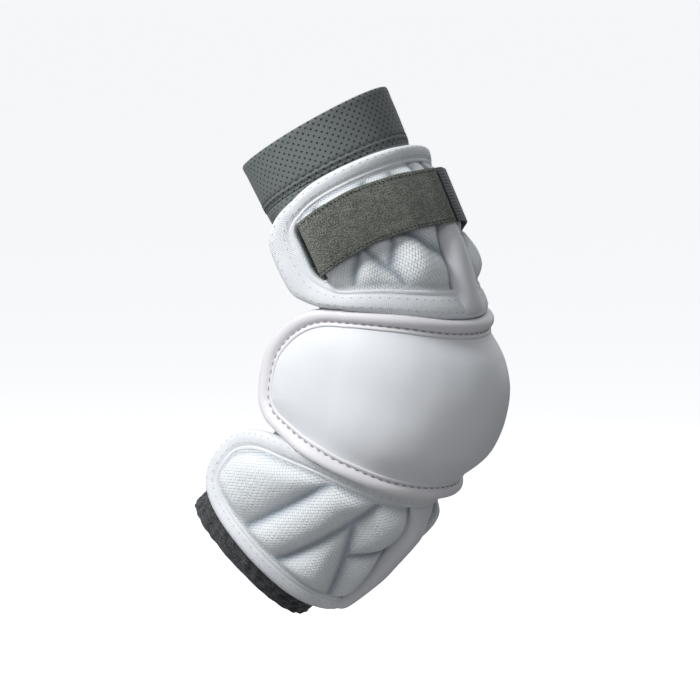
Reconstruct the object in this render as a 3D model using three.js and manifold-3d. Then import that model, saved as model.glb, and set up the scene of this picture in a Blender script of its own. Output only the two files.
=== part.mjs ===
// Lacrosse arm pad for a left or right arm, held in the bend that it has on an arm.
//
// The pad hangs on the axis of a bent arm. The axis is a straight upper arm, an arc round the elbow and a
// straight forearm, all in the plane y = 0, with the point of the elbow towards +X. A place on the pad is
// given by the distance down the axis from the collar's mouth, by the turn round the axis from the ridge
// over the point of the elbow, and by a height above a section of two half ellipses. The turn is positive
// on the side of -Y. The origin is the middle of the arc, which is the middle of the wearer's elbow.

import * as THREE from "three";
import { mergeVertices } from "three/addons/utils/BufferGeometryUtils.js";
import Module from "manifold-3d";

const wasm = await Module();
wasm.setup();

// The arm, in millimetres and degrees
const UPPER_LENGTH = 106;
const FORE_LENGTH = 126;
const BEND_RADIUS = 90;
const UPPER_LEAN = 28;
const FORE_LEAN = 42;
const SEAM_GAP = 0.3;
const PANEL_GAP = 0.6;

// The sleeve with its collar, grip band and cuff
const ARM_RADIUS = 50;
const SLEEVE_WALL = 1.6;
const COLLAR_HEIGHT = 32;
const COLLAR_WALL = 2.4;
const GRIP_HEIGHT = 20;
const GRIP_DROP = 6;
const GRIP_WALL = 1.2;
const CUFF_HEIGHT = 22;
const CUFF_WALL = 2.6;
const FOLD_DEPTH = 3.4;
const FOLD_SPREAD = 5;

// The padding
const BINDING_WIDTH = 9;
const BINDING_THICKNESS = 9;
const PAD_BORDER = 5;
const LOBE_HEIGHT = 8.5;
const LOBE_SHOULDER = 6.5;
const SPINE_BED = 3;
const BED_ROOM = 0.8;
const BED_MARGIN = 1.8;
const BED_SLOPE = 3;
const BICEP_HEIGHT = 95;
const BICEP_SIDE = 60;
const BICEP_SPINE = 17;
const FOREARM_HEIGHT = 106;
const FOREARM_SIDE = 50;
const FOREARM_SPINE = 16;
const CAP_HEIGHT = 118;
const CAP_SIDE = 57;
const CAP_FRONT = 64;
const CAP_BINDING_WIDTH = 12;
const CAP_BINDING_THICKNESS = 8;
const CAP_BORDER = 7;
const CAP_DOME = 17;
const CAP_DROP = 24.7;
const CAP_SETBACK = 8.3;
const CAP_LEAN = 10.7;
const CAP_CLEARANCE = 0.7;
const CAP_LIFT_STEP = 0.5;
const CAP_LIFT_LIMIT = 40;
const EDGE_MARGIN = 1;

// The strap
const STRAP_WIDTH = 38;
const STRAP_THICKNESS = 1.8;
const STRAP_RISE = 20;
const STRAP_CENTRE = UPPER_LENGTH - STRAP_RISE;
const STRAP_CLEARANCE = 0.5;
const STRAP_LIFT = 0.8;
const SLOT_TURN = 86;
const SLOT_WIDTH = 5;
const SLOT_END_ROOM = 1.5;
const SLOT_REACH = 5;
const TAB_THICKNESS = 2.2;
const TAB_OVERHANG = 2;

const ARC_TURN = THREE.MathUtils.degToRad(UPPER_LEAN + FORE_LEAN);
const ARM_LENGTH = UPPER_LENGTH + BEND_RADIUS * ARC_TURN + FORE_LENGTH;
const TOP_LEAN = THREE.MathUtils.degToRad(UPPER_LEAN);
const END_LEAN = THREE.MathUtils.degToRad(-FORE_LEAN);

// Sections of the sleeve: at is a share of the arm's length, the rest are shares of the arm's radius
const SLEEVE_SECTIONS = [
  { at: 0.0, front: 1.08, back: 1.08, side: 1.04 },
  { at: 0.09, front: 1.06, back: 1.06, side: 1.02 },
  { at: 0.17, front: 1.0, back: 1.0, side: 0.98 },
  { at: 0.29, front: 0.96, back: 0.9, side: 0.96 },
  { at: 0.37, front: 1.0, back: 0.88, side: 0.96 },
  { at: 0.46, front: 1.18, back: 1.12, side: 0.96 },
  { at: 0.54, front: 1.24, back: 0.98, side: 0.92 },
  { at: 0.62, front: 1.2, back: 0.84, side: 0.9 },
  { at: 0.72, front: 1.16, back: 0.82, side: 0.86 },
  { at: 0.86, front: 1.12, back: 0.86, side: 0.76 },
  { at: 1.0, front: 1.04, back: 0.92, side: 0.68 },
];

// Folds across the inside of the elbow: at is a share of the arm's length, depth of the fold depth
const SLEEVE_FOLDS = [
  { at: 0.3, depth: 0.35, middle: 172, reach: 80 },
  { at: 0.37, depth: 0.55, middle: 196, reach: 75 },
  { at: 0.44, depth: 0.75, middle: 168, reach: 80 },
  { at: 0.51, depth: 0.7, middle: 190, reach: 85 },
  { at: 0.575, depth: 1.0, middle: 160, reach: 75 },
  { at: 0.64, depth: 0.5, middle: 185, reach: 70 },
  { at: 0.8, depth: 0.4, middle: 150, reach: 60 },
];

// Outlines of the pads: turn in degrees, top and bottom as shares of the pad's height from its middle
const BICEP_OUTLINE = [
  { turn: 0, top: -0.55, bottom: 0.48 },
  { turn: 40, top: -0.54, bottom: 0.455 },
  { turn: 62, top: -0.53, bottom: 0.42 },
  { turn: 78, top: -0.51, bottom: 0.385 },
  { turn: 90, top: -0.48, bottom: 0.34 },
  { turn: 97, top: -0.44, bottom: 0.29 },
  { turn: 102, top: -0.375, bottom: 0.14 },
  { turn: 105, top: -0.25, bottom: -0.08 },
];
const FOREARM_OUTLINE = [
  { turn: 0, top: -0.49, bottom: 0.525 },
  { turn: 22, top: -0.485, bottom: 0.535 },
  { turn: 50, top: -0.42, bottom: 0.535 },
  { turn: 78, top: -0.32, bottom: 0.525 },
  { turn: 100, top: -0.24, bottom: 0.505 },
  { turn: 118, top: -0.15, bottom: 0.465 },
  { turn: 130, top: -0.03, bottom: 0.4 },
  { turn: 139, top: 0.1, bottom: 0.27 },
];
const CAP_OUTLINE = [
  { turn: 0, top: -0.495, bottom: 0.49 },
  { turn: 30, top: -0.5, bottom: 0.48 },
  { turn: 55, top: -0.49, bottom: 0.435 },
  { turn: 72, top: -0.475, bottom: 0.395 },
  { turn: 92, top: -0.455, bottom: 0.345 },
  { turn: 107, top: -0.405, bottom: 0.3 },
  { turn: 118, top: -0.325, bottom: 0.24 },
  { turn: 125, top: -0.22, bottom: 0.165 },
  { turn: 129, top: -0.1, bottom: 0.07 },
];

// Creases between the sewn lobes of a pad, from one point to the next: turn in degrees, rise as a share
// of the pad's height from its middle, and depth as a share of the lobes' height
const BICEP_CREASES = [
  { turn: 53, rise: 0.24, toTurn: 63, toRise: 0.1, depth: 1.0 },
  { turn: 53, rise: 0.24, toTurn: 43, toRise: 0.12, depth: 1.0 },
  { turn: 43, rise: 0.12, toTurn: 21, toRise: 0.25, depth: 0.9 },
  { turn: 53, rise: 0.24, toTurn: 80, toRise: 0.3, depth: 0.8 },
  { turn: 53, rise: 0.24, toTurn: 40, toRise: 0.43, depth: 0.4 },
  { turn: 63, rise: 0.1, toTurn: 52, toRise: -0.12, depth: 1.0 },
  { turn: 43, rise: 0.12, toTurn: 52, toRise: -0.12, depth: 0.8 },
  { turn: 52, rise: -0.12, toTurn: 30, toRise: -0.38, depth: 1.0 },
  { turn: 52, rise: -0.12, toTurn: 68, toRise: -0.4, depth: 1.0 },
  { turn: 42, rise: -0.24, toTurn: 18, toRise: -0.14, depth: 1.0 },
];
const FOREARM_CREASES = [
  { turn: 92, rise: 0.46, toTurn: 78, toRise: 0.12, depth: 1.0 },
  { turn: 78, rise: 0.12, toTurn: 69, toRise: -0.2, depth: 1.0 },
  { turn: 66, rise: 0.47, toTurn: 53, toRise: 0.06, depth: 1.0 },
  { turn: 53, rise: 0.06, toTurn: 41, toRise: -0.3, depth: 1.0 },
  { turn: 29, rise: 0.47, toTurn: 36, toRise: 0.16, depth: 1.0 },
  { turn: 36, rise: 0.16, toTurn: 46, toRise: -0.08, depth: 1.0 },
  { turn: 36, rise: 0.12, toTurn: 20, toRise: -0.04, depth: 1.0 },
];

// Half width of each smooth spine in degrees, down its length
const BICEP_SPINE_SHAPE = [
  { at: 0, half: 13 },
  { at: 0.5, half: 15 },
  { at: 1, half: 18 },
];
const FOREARM_SPINE_SHAPE = [
  { at: 0, half: 25 },
  { at: 0.35, half: 19 },
  { at: 0.65, half: 17 },
  { at: 1, half: 11 },
];

// The cap has no spine, so its inner columns are spaced like the rest
const CAP_CROWN_SHAPE = [
  { at: 0, half: 16 },
  { at: 1, half: 16 },
];

// The cap's own straight frame leans less than the arm, and its rows share its height and its base radius
const CAP_BASE = [
  { at: -0.5, front: 0.9, back: 1.4 },
  { at: -0.3, front: 0.96, back: 1.44 },
  { at: -0.05, front: 0.98, back: 1.45 },
  { at: 0.2, front: 0.98, back: 1.44 },
  { at: 0.5, front: 0.9, back: 1.38 },
];

const rad = THREE.MathUtils.degToRad;

// Value of one column of a table at a place, on a cubic through its rows with no overshoot.
function column(rows, key, at, name) {
  const last = rows.length - 1;
  if (at <= rows[0][key]) return rows[0][name];
  if (at >= rows[last][key]) return rows[last][name];
  let i = 0;
  while (rows[i + 1][key] < at) i++;
  const slope = (k) => {
    if (k <= 0 || k >= last) return 0;
    const before = (rows[k][name] - rows[k - 1][name]) / (rows[k][key] - rows[k - 1][key]);
    const after = (rows[k + 1][name] - rows[k][name]) / (rows[k + 1][key] - rows[k][key]);
    return before * after <= 0 ? 0 : (2 * before * after) / (before + after);
  };
  const span = rows[i + 1][key] - rows[i][key];
  const t = (at - rows[i][key]) / span;
  const rise = rows[i + 1][name] - rows[i][name];
  const hermite = rise * t * t * (3 - 2 * t);
  return rows[i][name] + hermite + span * t * (1 - t) * (slope(i) * (1 - t) - slope(i + 1) * t);
}

const outward = (lean) => new THREE.Vector3(Math.cos(lean), 0, Math.sin(lean));
const downward = (lean) => new THREE.Vector3(Math.sin(lean), 0, -Math.cos(lean));
const ARC_CENTRE = outward((TOP_LEAN + END_LEAN) / 2).multiplyScalar(-BEND_RADIUS);

// Point of the arm's axis and the lean of its section there.
function armAxis(down) {
  const past = down - UPPER_LENGTH;
  const beyond = past - BEND_RADIUS * ARC_TURN;
  const lean = past < 0 ? TOP_LEAN : beyond > 0 ? END_LEAN : TOP_LEAN - past / BEND_RADIUS;
  const straight = past < 0 ? past : Math.max(beyond, 0);
  const point = ARC_CENTRE.clone().addScaledVector(outward(lean), BEND_RADIUS);
  return { point: point.addScaledVector(downward(lean), straight), lean };
}

// Inverse of armAxis: how far down the arm a point lies, and how far out and to the side of the axis.
function armPlace(point) {
  const from = point.clone().sub(ARC_CENTRE);
  const lean = Math.atan2(from.z, from.x);
  const side = -point.y;
  if (lean <= TOP_LEAN && lean >= END_LEAN) {
    const down = UPPER_LENGTH + BEND_RADIUS * (TOP_LEAN - lean);
    return { down, out: Math.hypot(from.x, from.z) - BEND_RADIUS, side };
  }
  const upper = lean > TOP_LEAN;
  const at = upper ? TOP_LEAN : END_LEAN;
  const start = ARC_CENTRE.clone().addScaledVector(outward(at), BEND_RADIUS);
  const off = point.clone().sub(start);
  const down = (upper ? UPPER_LENGTH : ARM_LENGTH - FORE_LENGTH) + off.dot(downward(at));
  return { down, out: off.dot(outward(at)), side };
}

// Point at a turn round a section of two half ellipses, raised by a height along the section's normal.
function sectionPoint(axis, section, turn, height) {
  const half = Math.cos(turn) >= 0 ? section.front : section.back;
  const out = half * Math.cos(turn);
  const side = section.side * Math.sin(turn);
  const normal = new THREE.Vector2(Math.cos(turn) / half, Math.sin(turn) / section.side).normalize();
  return axis.point
    .clone()
    .addScaledVector(outward(axis.lean), out + height * normal.x)
    .add(new THREE.Vector3(0, -(side + height * normal.y), 0));
}

function sleeveSection(down) {
  const at = down / ARM_LENGTH;
  const share = (name) => ARM_RADIUS * column(SLEEVE_SECTIONS, "at", at, name);
  return { front: share("front"), back: share("back"), side: share("side") };
}

// Depth of the cloth's folds, a sum of soft furrows that fade to both sides of their middle.
function foldDepth(down, turn) {
  let depth = 0;
  for (const fold of SLEEVE_FOLDS) {
    const across = (down - fold.at * ARM_LENGTH) / FOLD_SPREAD;
    const degrees = ((THREE.MathUtils.radToDeg(turn) % 360) + 360) % 360;
    const round = Math.min(1, Math.abs(degrees - fold.middle) / fold.reach);
    depth += fold.depth * FOLD_DEPTH * Math.exp(-across * across) * (1 - round * round) ** 2;
  }
  return depth;
}

// Closed body from points and faces, turned to face outwards.
function closedBody(points, faces) {
  let volume = 0;
  for (const [a, b, c] of faces) {
    volume += points[a].dot(new THREE.Vector3().crossVectors(points[b], points[c]));
  }
  const index = faces.flatMap(([a, b, c]) => (volume > 0 ? [a, b, c] : [a, c, b]));
  const geometry = new THREE.BufferGeometry();
  geometry.setAttribute("position", new THREE.Float32BufferAttribute(points.flatMap((p) => p.toArray()), 3));
  geometry.setIndex(index);
  return geometry;
}

// Body between an outer and an inner grid of points. The outer and inner functions take (u, v) from 0 to
// 1. A ring closes on itself along u, and a sheet has a wall round all four sides.
function layerBody(columns, rows, outer, inner, ring) {
  const across = ring ? columns : columns + 1;
  const points = [];
  for (const skin of [outer, inner]) {
    for (let i = 0; i < across; i++) {
      for (let j = 0; j <= rows; j++) points.push(skin(i / columns, j / rows));
    }
  }
  const half = across * (rows + 1);
  const id = (skin, i, j) => skin * half + (i % across) * (rows + 1) + j;
  const faces = [];
  const quad = (a, b, c, d) => faces.push([a, b, c], [a, c, d]);
  for (let i = 0; i < columns; i++) {
    for (let j = 0; j < rows; j++) {
      quad(id(0, i, j), id(0, i + 1, j), id(0, i + 1, j + 1), id(0, i, j + 1));
      quad(id(1, i, j + 1), id(1, i + 1, j + 1), id(1, i + 1, j), id(1, i, j));
    }
    quad(id(1, i, 0), id(1, i + 1, 0), id(0, i + 1, 0), id(0, i, 0));
    quad(id(0, i, rows), id(0, i + 1, rows), id(1, i + 1, rows), id(1, i, rows));
  }
  for (let j = 0; j < rows && !ring; j++) {
    quad(id(0, 0, j), id(0, 0, j + 1), id(1, 0, j + 1), id(1, 0, j));
    quad(id(1, columns, j), id(1, columns, j + 1), id(0, columns, j + 1), id(0, columns, j));
  }
  return closedBody(points, faces);
}

// Body swept round a closed loop of sections, each a list of points in the same order.
function loopBody(sections) {
  const around = sections[0].length;
  const id = (i, j) => (i % sections.length) * around + (j % around);
  const faces = [];
  for (let i = 0; i < sections.length; i++) {
    for (let j = 0; j < around; j++) {
      faces.push([id(i, j), id(i + 1, j), id(i + 1, j + 1)], [id(i, j), id(i + 1, j + 1), id(i, j + 1)]);
    }
  }
  return closedBody(sections.flat(), faces);
}

function asSolid(geometry) {
  const bare = new THREE.BufferGeometry();
  bare.setAttribute("position", geometry.getAttribute("position"));
  bare.setIndex(geometry.index);
  const merged = mergeVertices(bare, 1e-3);
  const vertProperties = merged.attributes.position.array;
  return new wasm.Manifold(new wasm.Mesh({ numProp: 3, vertProperties, triVerts: new Uint32Array(merged.index.array) }));
}

function asGeometry(solid) {
  const mesh = solid.getMesh();
  const geometry = new THREE.BufferGeometry();
  geometry.setAttribute("position", new THREE.BufferAttribute(Float32Array.from(mesh.vertProperties), 3));
  geometry.setIndex(Array.from(mesh.triVerts));
  return geometry;
}

// A tube of cloth on the arm between two distances down it, with its outer skin out by a height.
function clothTube(from, to, wall, columns, rows, height = () => 0) {
  const skin = (inset) => (u, v) => {
    const down = from + (to - from) * v;
    const turn = 2 * Math.PI * u;
    return sectionPoint(armAxis(down), sleeveSection(down), turn, height(down, turn) - inset);
  };
  return layerBody(columns, rows, skin(0), skin(wall), true);
}

const SLEEVE_TOP = COLLAR_HEIGHT + SEAM_GAP;
const SLEEVE_END = ARM_LENGTH - CUFF_HEIGHT - SEAM_GAP;
const TUBE_COLUMNS = 24;

function collarBand() {
  return clothTube(0, COLLAR_HEIGHT, COLLAR_WALL, TUBE_COLUMNS, 3);
}

function gripBand() {
  const under = () => -COLLAR_WALL - SEAM_GAP;
  return clothTube(GRIP_DROP, GRIP_DROP + GRIP_HEIGHT, GRIP_WALL, TUBE_COLUMNS, 2, under);
}

function armSleeve() {
  return clothTube(SLEEVE_TOP, SLEEVE_END, SLEEVE_WALL, TUBE_COLUMNS, 24, (down, turn) => -foldDepth(down, turn));
}

function wristCuff() {
  return clothTube(ARM_LENGTH - CUFF_HEIGHT, ARM_LENGTH, CUFF_WALL, TUBE_COLUMNS, 2, () => CUFF_WALL - SLEEVE_WALL);
}

const PAD_COLUMNS = 26;
const BED_COLUMNS = 4 / PAD_COLUMNS;

// A pad that wraps the outside of the arm. It knows its outline, its base section and the place of a
// point at a share u of its turn and w of its height, drawn in towards its middle by the inset.
class Pad {
  constructor({ outline, height, middle, bindingWidth, bindingThickness, base, place, spine }) {
    Object.assign(this, { outline, height, middle, bindingWidth, bindingThickness, base, place, spine });
    this.endTurn = rad(outline[outline.length - 1].turn);
    const end = this.base(middle);
    this.halfWrap = (this.endTurn * (end.front + end.side)) / 2;
  }

  at(u, w, inset) {
    const turn = this.endTurn * Math.abs(u);
    const degrees = THREE.MathUtils.radToDeg(turn);
    const top = column(this.outline, "turn", degrees, "top");
    const bottom = column(this.outline, "turn", degrees, "bottom");
    const drawnTurn = 1 - inset / this.halfWrap;
    const drawnHeight = 1 - (2 * inset) / this.height;
    const along = (top + (bottom - top) * w) * this.height * drawnHeight;
    return { turn: Math.sign(u) * turn * drawnTurn, down: this.middle + along };
  }

  point({ turn, down }, height) {
    return this.place(down, this.base(down), turn, height);
  }

  // Half turn of the spine's bed at a distance down the arm.
  bedHalf(down) {
    const at = THREE.MathUtils.clamp((down - this.middle) / this.height + 0.5, 0, 1);
    return rad(column(this.spine, "at", at, "half"));
  }

  // Share of the wrap for a share of the columns: the inner columns are the spine's bed, and the outer
  // ones crowd a little towards the rounded ends.
  spread(share, w) {
    const x = Math.abs(2 * share - 1);
    const bed = this.bedHalf(this.middle + (w - 0.5) * this.height) / this.endTurn;
    const beyond = 1 - (1 - (x - BED_COLUMNS) / (1 - BED_COLUMNS)) ** 1.5;
    const wrap = x <= BED_COLUMNS ? (bed * x) / BED_COLUMNS : bed + (1 - bed) * beyond;
    return Math.sign(2 * share - 1) * wrap;
  }

  body(rows, height, floor = () => 0) {
    const inset = this.bindingWidth + PANEL_GAP;
    const skin = (lift) => (u, v) => {
      const spot = this.at(this.spread(u, v), v, inset);
      return this.point(spot, lift(spot));
    };
    return layerBody(PAD_COLUMNS, rows, skin(height), skin(floor), false);
  }

  // The padded binding: a rounded section carried round the outline.
  binding(rows, lift = () => 0) {
    const profile = [
      { across: 0.0, rise: 0 },
      { across: 0.0, rise: 0.66 },
      { across: 0.3, rise: 1 },
      { across: 0.72, rise: 0.94 },
      { across: 1.0, rise: 0.5 },
      { across: 0.92, rise: 0 },
    ];
    const edge = [];
    for (let i = 0; i < PAD_COLUMNS; i++) edge.push([this.spread(i / PAD_COLUMNS, 0), 0]);
    for (let j = 0; j < rows; j++) edge.push([1, j / rows]);
    for (let i = PAD_COLUMNS; i > 0; i--) edge.push([this.spread(i / PAD_COLUMNS, 1), 1]);
    for (let j = rows; j > 0; j--) edge.push([-1, j / rows]);
    return loopBody(
      edge.map(([u, w]) =>
        profile.map(({ across, rise }) => {
          const spot = this.at(u, w, this.bindingWidth * (1 - across));
          return this.point(spot, lift(spot) + rise * this.bindingThickness);
        }),
      ),
    );
  }
}

const onArm = (down, section, turn, height) => sectionPoint(armAxis(down), section, turn, height);

// Base sections of the two pads that lie on the sleeve: they touch it along the ridge and stand off it
// at the sides, where the backs are set by how far the wings reach round.
const BICEP_RISE = 10;
const BICEP_MIDDLE = UPPER_LENGTH - BICEP_RISE;
const BICEP_BACK = 2.1;
const FOREARM_DROP = 45;
const FOREARM_MIDDLE = ARM_LENGTH - FORE_LENGTH + FOREARM_DROP;
const FOREARM_BACK = 1.08;
const FOREARM_TAPER = 0.05;
const LOBE_POWER = 1.3;
const bicepBase = (down) => ({
  front: sleeveSection(down).front + SEAM_GAP,
  back: BICEP_SIDE * BICEP_BACK,
  side: BICEP_SIDE,
});
const forearmBase = (down) => ({
  front: sleeveSection(down).front + SEAM_GAP,
  back: FOREARM_SIDE * FOREARM_BACK,
  side: FOREARM_SIDE + (FOREARM_MIDDLE - down) * FOREARM_TAPER,
});

const bicep = new Pad({
  outline: BICEP_OUTLINE,
  height: BICEP_HEIGHT,
  middle: BICEP_MIDDLE,
  bindingWidth: BINDING_WIDTH,
  bindingThickness: BINDING_THICKNESS,
  base: bicepBase,
  place: onArm,
  spine: BICEP_SPINE_SHAPE,
});
const forearm = new Pad({
  outline: FOREARM_OUTLINE,
  height: FOREARM_HEIGHT,
  middle: FOREARM_MIDDLE,
  bindingWidth: BINDING_WIDTH,
  bindingThickness: BINDING_THICKNESS,
  base: forearmBase,
  place: onArm,
  spine: FOREARM_SPINE_SHAPE,
});

// Shortest distance from a spot to a crease, measured over the pad's face.
function creaseDistance(pad, spot, crease) {
  const scale = (pad.base(spot.down).side * Math.PI) / 180;
  const x = Math.abs(THREE.MathUtils.radToDeg(spot.turn)) * scale;
  const y = spot.down - pad.middle;
  const ax = crease.turn * scale;
  const ay = crease.rise * pad.height;
  const dx = crease.toTurn * scale - ax;
  const dy = crease.toRise * pad.height - ay;
  const t = THREE.MathUtils.clamp(((x - ax) * dx + (y - ay) * dy) / (dx * dx + dy * dy), 0, 1);
  return Math.hypot(x - ax - t * dx, y - ay - t * dy);
}

const rounded = (distance) => 1 - Math.exp(-((distance / LOBE_SHOULDER) ** LOBE_POWER));

// Height of a sculpted pad: a flat border, puffed lobes that sink to each crease, and a bed for the spine.
function lobeHeight(pad, creases) {
  return (spot) => {
    const side = pad.base(spot.down).side;
    const beside = (Math.abs(spot.turn) - pad.bedHalf(spot.down)) * side;
    if (beside < BED_ROOM) return SPINE_BED;
    const degrees = THREE.MathUtils.radToDeg(Math.abs(spot.turn));
    const top = pad.middle + pad.height * column(pad.outline, "turn", degrees, "top");
    const bottom = pad.middle + pad.height * column(pad.outline, "turn", degrees, "bottom");
    const frame = pad.bindingWidth + PAD_BORDER;
    const edge = Math.min(spot.down - top, bottom - spot.down, (pad.endTurn - Math.abs(spot.turn)) * side) - frame;
    let puff = rounded(Math.max(edge, 0)) * rounded(Math.max(beside, 0));
    for (const crease of creases) {
      puff *= 1 - crease.depth * (1 - rounded(creaseDistance(pad, spot, crease)));
    }
    const bed = THREE.MathUtils.smoothstep(beside, 0, BED_SLOPE);
    return SPINE_BED + bed * (PAD_BORDER - SPINE_BED) + puff * LOBE_HEIGHT;
  };
}

const bicepHeight = lobeHeight(bicep, BICEP_CREASES);
const forearmHeight = lobeHeight(forearm, FOREARM_CREASES);

// The smooth spine that lies in its bed down the ridge of a pad, crowned across its width.
function spineBody(pad, thickness) {
  const inset = pad.bindingWidth + 2 * PANEL_GAP;
  const place = (u, v) => {
    const { down } = pad.at(0.001, v, inset);
    return { down, turn: (2 * u - 1) * (pad.bedHalf(down) - BED_MARGIN / pad.base(down).side) };
  };
  const crown = (u, v) => {
    const ends = THREE.MathUtils.smoothstep(Math.min(v, 1 - v), 0, 0.12);
    const round = Math.sqrt(1 - 0.92 * (2 * u - 1) ** 2);
    return SPINE_BED + (thickness - SPINE_BED) * (0.35 + 0.65 * round) * (0.55 + 0.45 * ends);
  };
  return layerBody(
    8,
    9,
    (u, v) => pad.point(place(u, v), crown(u, v)),
    (u, v) => pad.point(place(u, v), SPINE_BED + SEAM_GAP),
    false,
  );
}

// The cap's frame: a straight axis through a point below and behind the elbow.
const CAP_AXIS_LEAN = rad(-CAP_LEAN);
const CAP_ORIGIN = new THREE.Vector3(-CAP_SETBACK, 0, -CAP_DROP);

function capBase(down) {
  const at = down / CAP_HEIGHT;
  return {
    front: CAP_FRONT * column(CAP_BASE, "at", at, "front"),
    back: CAP_FRONT * column(CAP_BASE, "at", at, "back"),
    side: CAP_SIDE,
  };
}

// Room between a point and what lies under the cap there: the sleeve and the edges of the other pads.
function roomOver(point) {
  const { down, out, side } = armPlace(point);
  const turn = Math.atan2(side, out);
  const near = (pad) => {
    const degrees = Math.abs(THREE.MathUtils.radToDeg(turn));
    const top = pad.middle + pad.height * column(pad.outline, "turn", degrees, "top");
    const bottom = pad.middle + pad.height * column(pad.outline, "turn", degrees, "bottom");
    return down > top - EDGE_MARGIN && down < bottom + EDGE_MARGIN;
  };
  const over = (section, height) => {
    const half = (out >= 0 ? section.front : section.back) + height;
    const ratio = Math.hypot(out / half, side / (section.side + height));
    return (ratio - 1) * Math.min(half, section.side);
  };
  let room = over(sleeveSection(THREE.MathUtils.clamp(down, 0, ARM_LENGTH)), 0);
  if (near(forearm)) room = Math.min(room, over(forearmBase(down), BINDING_THICKNESS));
  if (near(bicep)) room = Math.min(room, over(bicepBase(down), BINDING_THICKNESS));
  return room;
}

function capPlace(down, section, turn, height) {
  const axis = { point: CAP_ORIGIN.clone().addScaledVector(downward(CAP_AXIS_LEAN), down), lean: CAP_AXIS_LEAN };
  return sectionPoint(axis, section, turn, height);
}

const cap = new Pad({
  outline: CAP_OUTLINE,
  height: CAP_HEIGHT,
  middle: 0,
  bindingWidth: CAP_BINDING_WIDTH,
  bindingThickness: CAP_BINDING_THICKNESS,
  base: capBase,
  place: capPlace,
  spine: CAP_CROWN_SHAPE,
});

// How far the cap's inner face has to be lifted off its base to clear what lies under it.
function capFloor(spot) {
  let lift = 0;
  while (roomOver(cap.point(spot, lift)) < CAP_CLEARANCE && lift < CAP_LIFT_LIMIT) lift += CAP_LIFT_STEP;
  return lift;
}

// Height of the cap's smooth shell: a border, and a dome that is full at the ridge and flat at the wings.
function capHeight(spot) {
  const degrees = THREE.MathUtils.radToDeg(Math.abs(spot.turn));
  const inset = 1 - (2 * CAP_BINDING_WIDTH) / CAP_HEIGHT;
  const top = CAP_HEIGHT * inset * column(CAP_OUTLINE, "turn", degrees, "top");
  const bottom = CAP_HEIGHT * inset * column(CAP_OUTLINE, "turn", degrees, "bottom");
  const across = Math.abs((2 * spot.down - top - bottom) / (bottom - top));
  const round = Math.max(0, 1 - Math.min(1, across) ** 2.4);
  const ridge = 0.28 + 0.72 * Math.max(0, Math.cos(spot.turn)) ** 1.2;
  return CAP_BORDER + CAP_DOME * ridge * round;
}

const capOuter = (spot) => Math.max(capHeight(spot), capFloor(spot) + CAP_BORDER * 0.7);

// Height of the strap over the bicep pad, the highest that the pad reaches under the strap's width.
function strapRide(turn) {
  let highest = Math.max(PAD_BORDER, Math.abs(turn) < bicep.bedHalf(STRAP_CENTRE) ? BICEP_SPINE : 0);
  for (let step = -4; step <= 4; step++) {
    const down = STRAP_CENTRE + (step / 8) * STRAP_WIDTH;
    highest = Math.max(highest, bicepHeight({ turn, down }));
  }
  return highest + STRAP_CLEARANCE;
}

// A stretch of the strap's path: turns in degrees and the function that gives its place there.
function strapPath() {
  const over = (turn) => (down) => sectionPoint(armAxis(down), bicepBase(down), turn, strapRideSmooth(turn));
  const under = (turn) => (down) => sectionPoint(armAxis(down), sleeveSection(down), turn, STRAP_LIFT);
  return { over, under };
}

// The strap is tight, so it bridges the creases: its height is the highest within a short reach.
function strapRideSmooth(turn) {
  let sum = 0;
  let count = 0;
  for (let step = -3; step <= 3; step++) {
    let highest = 0;
    for (let reach = -2; reach <= 2; reach++) highest = Math.max(highest, strapRide(turn + rad(step * 3 + reach * 4)));
    sum += highest;
    count += 1;
  }
  return Math.max(sum / count, strapRide(turn));
}

// Ribbon through a list of places, each a function of the distance down the arm, with a thickness to
// the outside of the path.
function ribbon(places, width, thickness) {
  const edge = (k, side) => places[k](STRAP_CENTRE + (side * width) / 2);
  const lines = places.map((_, k) => ({ top: edge(k, -1), bottom: edge(k, 1) }));
  const normals = lines.map((line, k) => {
    const before = lines[Math.max(k - 1, 0)];
    const after = lines[Math.min(k + 1, lines.length - 1)];
    const along = after.top.clone().add(after.bottom).sub(before.top).sub(before.bottom);
    return along.cross(line.bottom.clone().sub(line.top)).normalize();
  });
  const skin = (height) => (u, v) => {
    const k = Math.round(u * (places.length - 1));
    return lines[k].top.clone().lerp(lines[k].bottom, v).addScaledVector(normals[k], height);
  };
  return layerBody(places.length - 1, 1, skin(thickness), skin(0), false);
}

// The strap's step through a slot, from over the pad to under it: places by the share of the way.
function slotStep(turn) {
  const { over, under } = strapPath();
  return (share) => (down) => over(turn)(down).clone().lerp(under(turn)(down), share);
}

function turns(from, to, count) {
  return Array.from({ length: count + 1 }, (_, k) => rad(from + ((to - from) * k) / count));
}

const JOIN_TURN = -12;
const TAB_FROM = 112;
const TAB_TO = 166;
const LOOP_END = 158;

// Fuzzy loop part: from the join past the ridge, over the pad, through the near slot and under the tab.
function strapLoop() {
  const { over, under } = strapPath();
  const step = slotStep(rad(SLOT_TURN));
  const places = [
    ...turns(JOIN_TURN, SLOT_TURN - 3, 20).map(over),
    step(0.12),
    step(0.88),
    ...turns(SLOT_TURN + 3, LOOP_END, 10).map(under),
  ];
  return ribbon(places, STRAP_WIDTH, STRAP_THICKNESS);
}

// Ribbed elastic part: from the join over the far side, through the far slot and round to the tab.
function strapElastic() {
  const { over, under } = strapPath();
  const step = slotStep(rad(-SLOT_TURN));
  const places = [
    ...turns(TAB_TO - 360 + 0.5, -SLOT_TURN - 3, 12).map(under),
    step(0.88),
    step(0.12),
    ...turns(-SLOT_TURN + 3, JOIN_TURN - 0.4, 16).map(over),
  ];
  return ribbon(places, STRAP_WIDTH, STRAP_THICKNESS);
}

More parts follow.
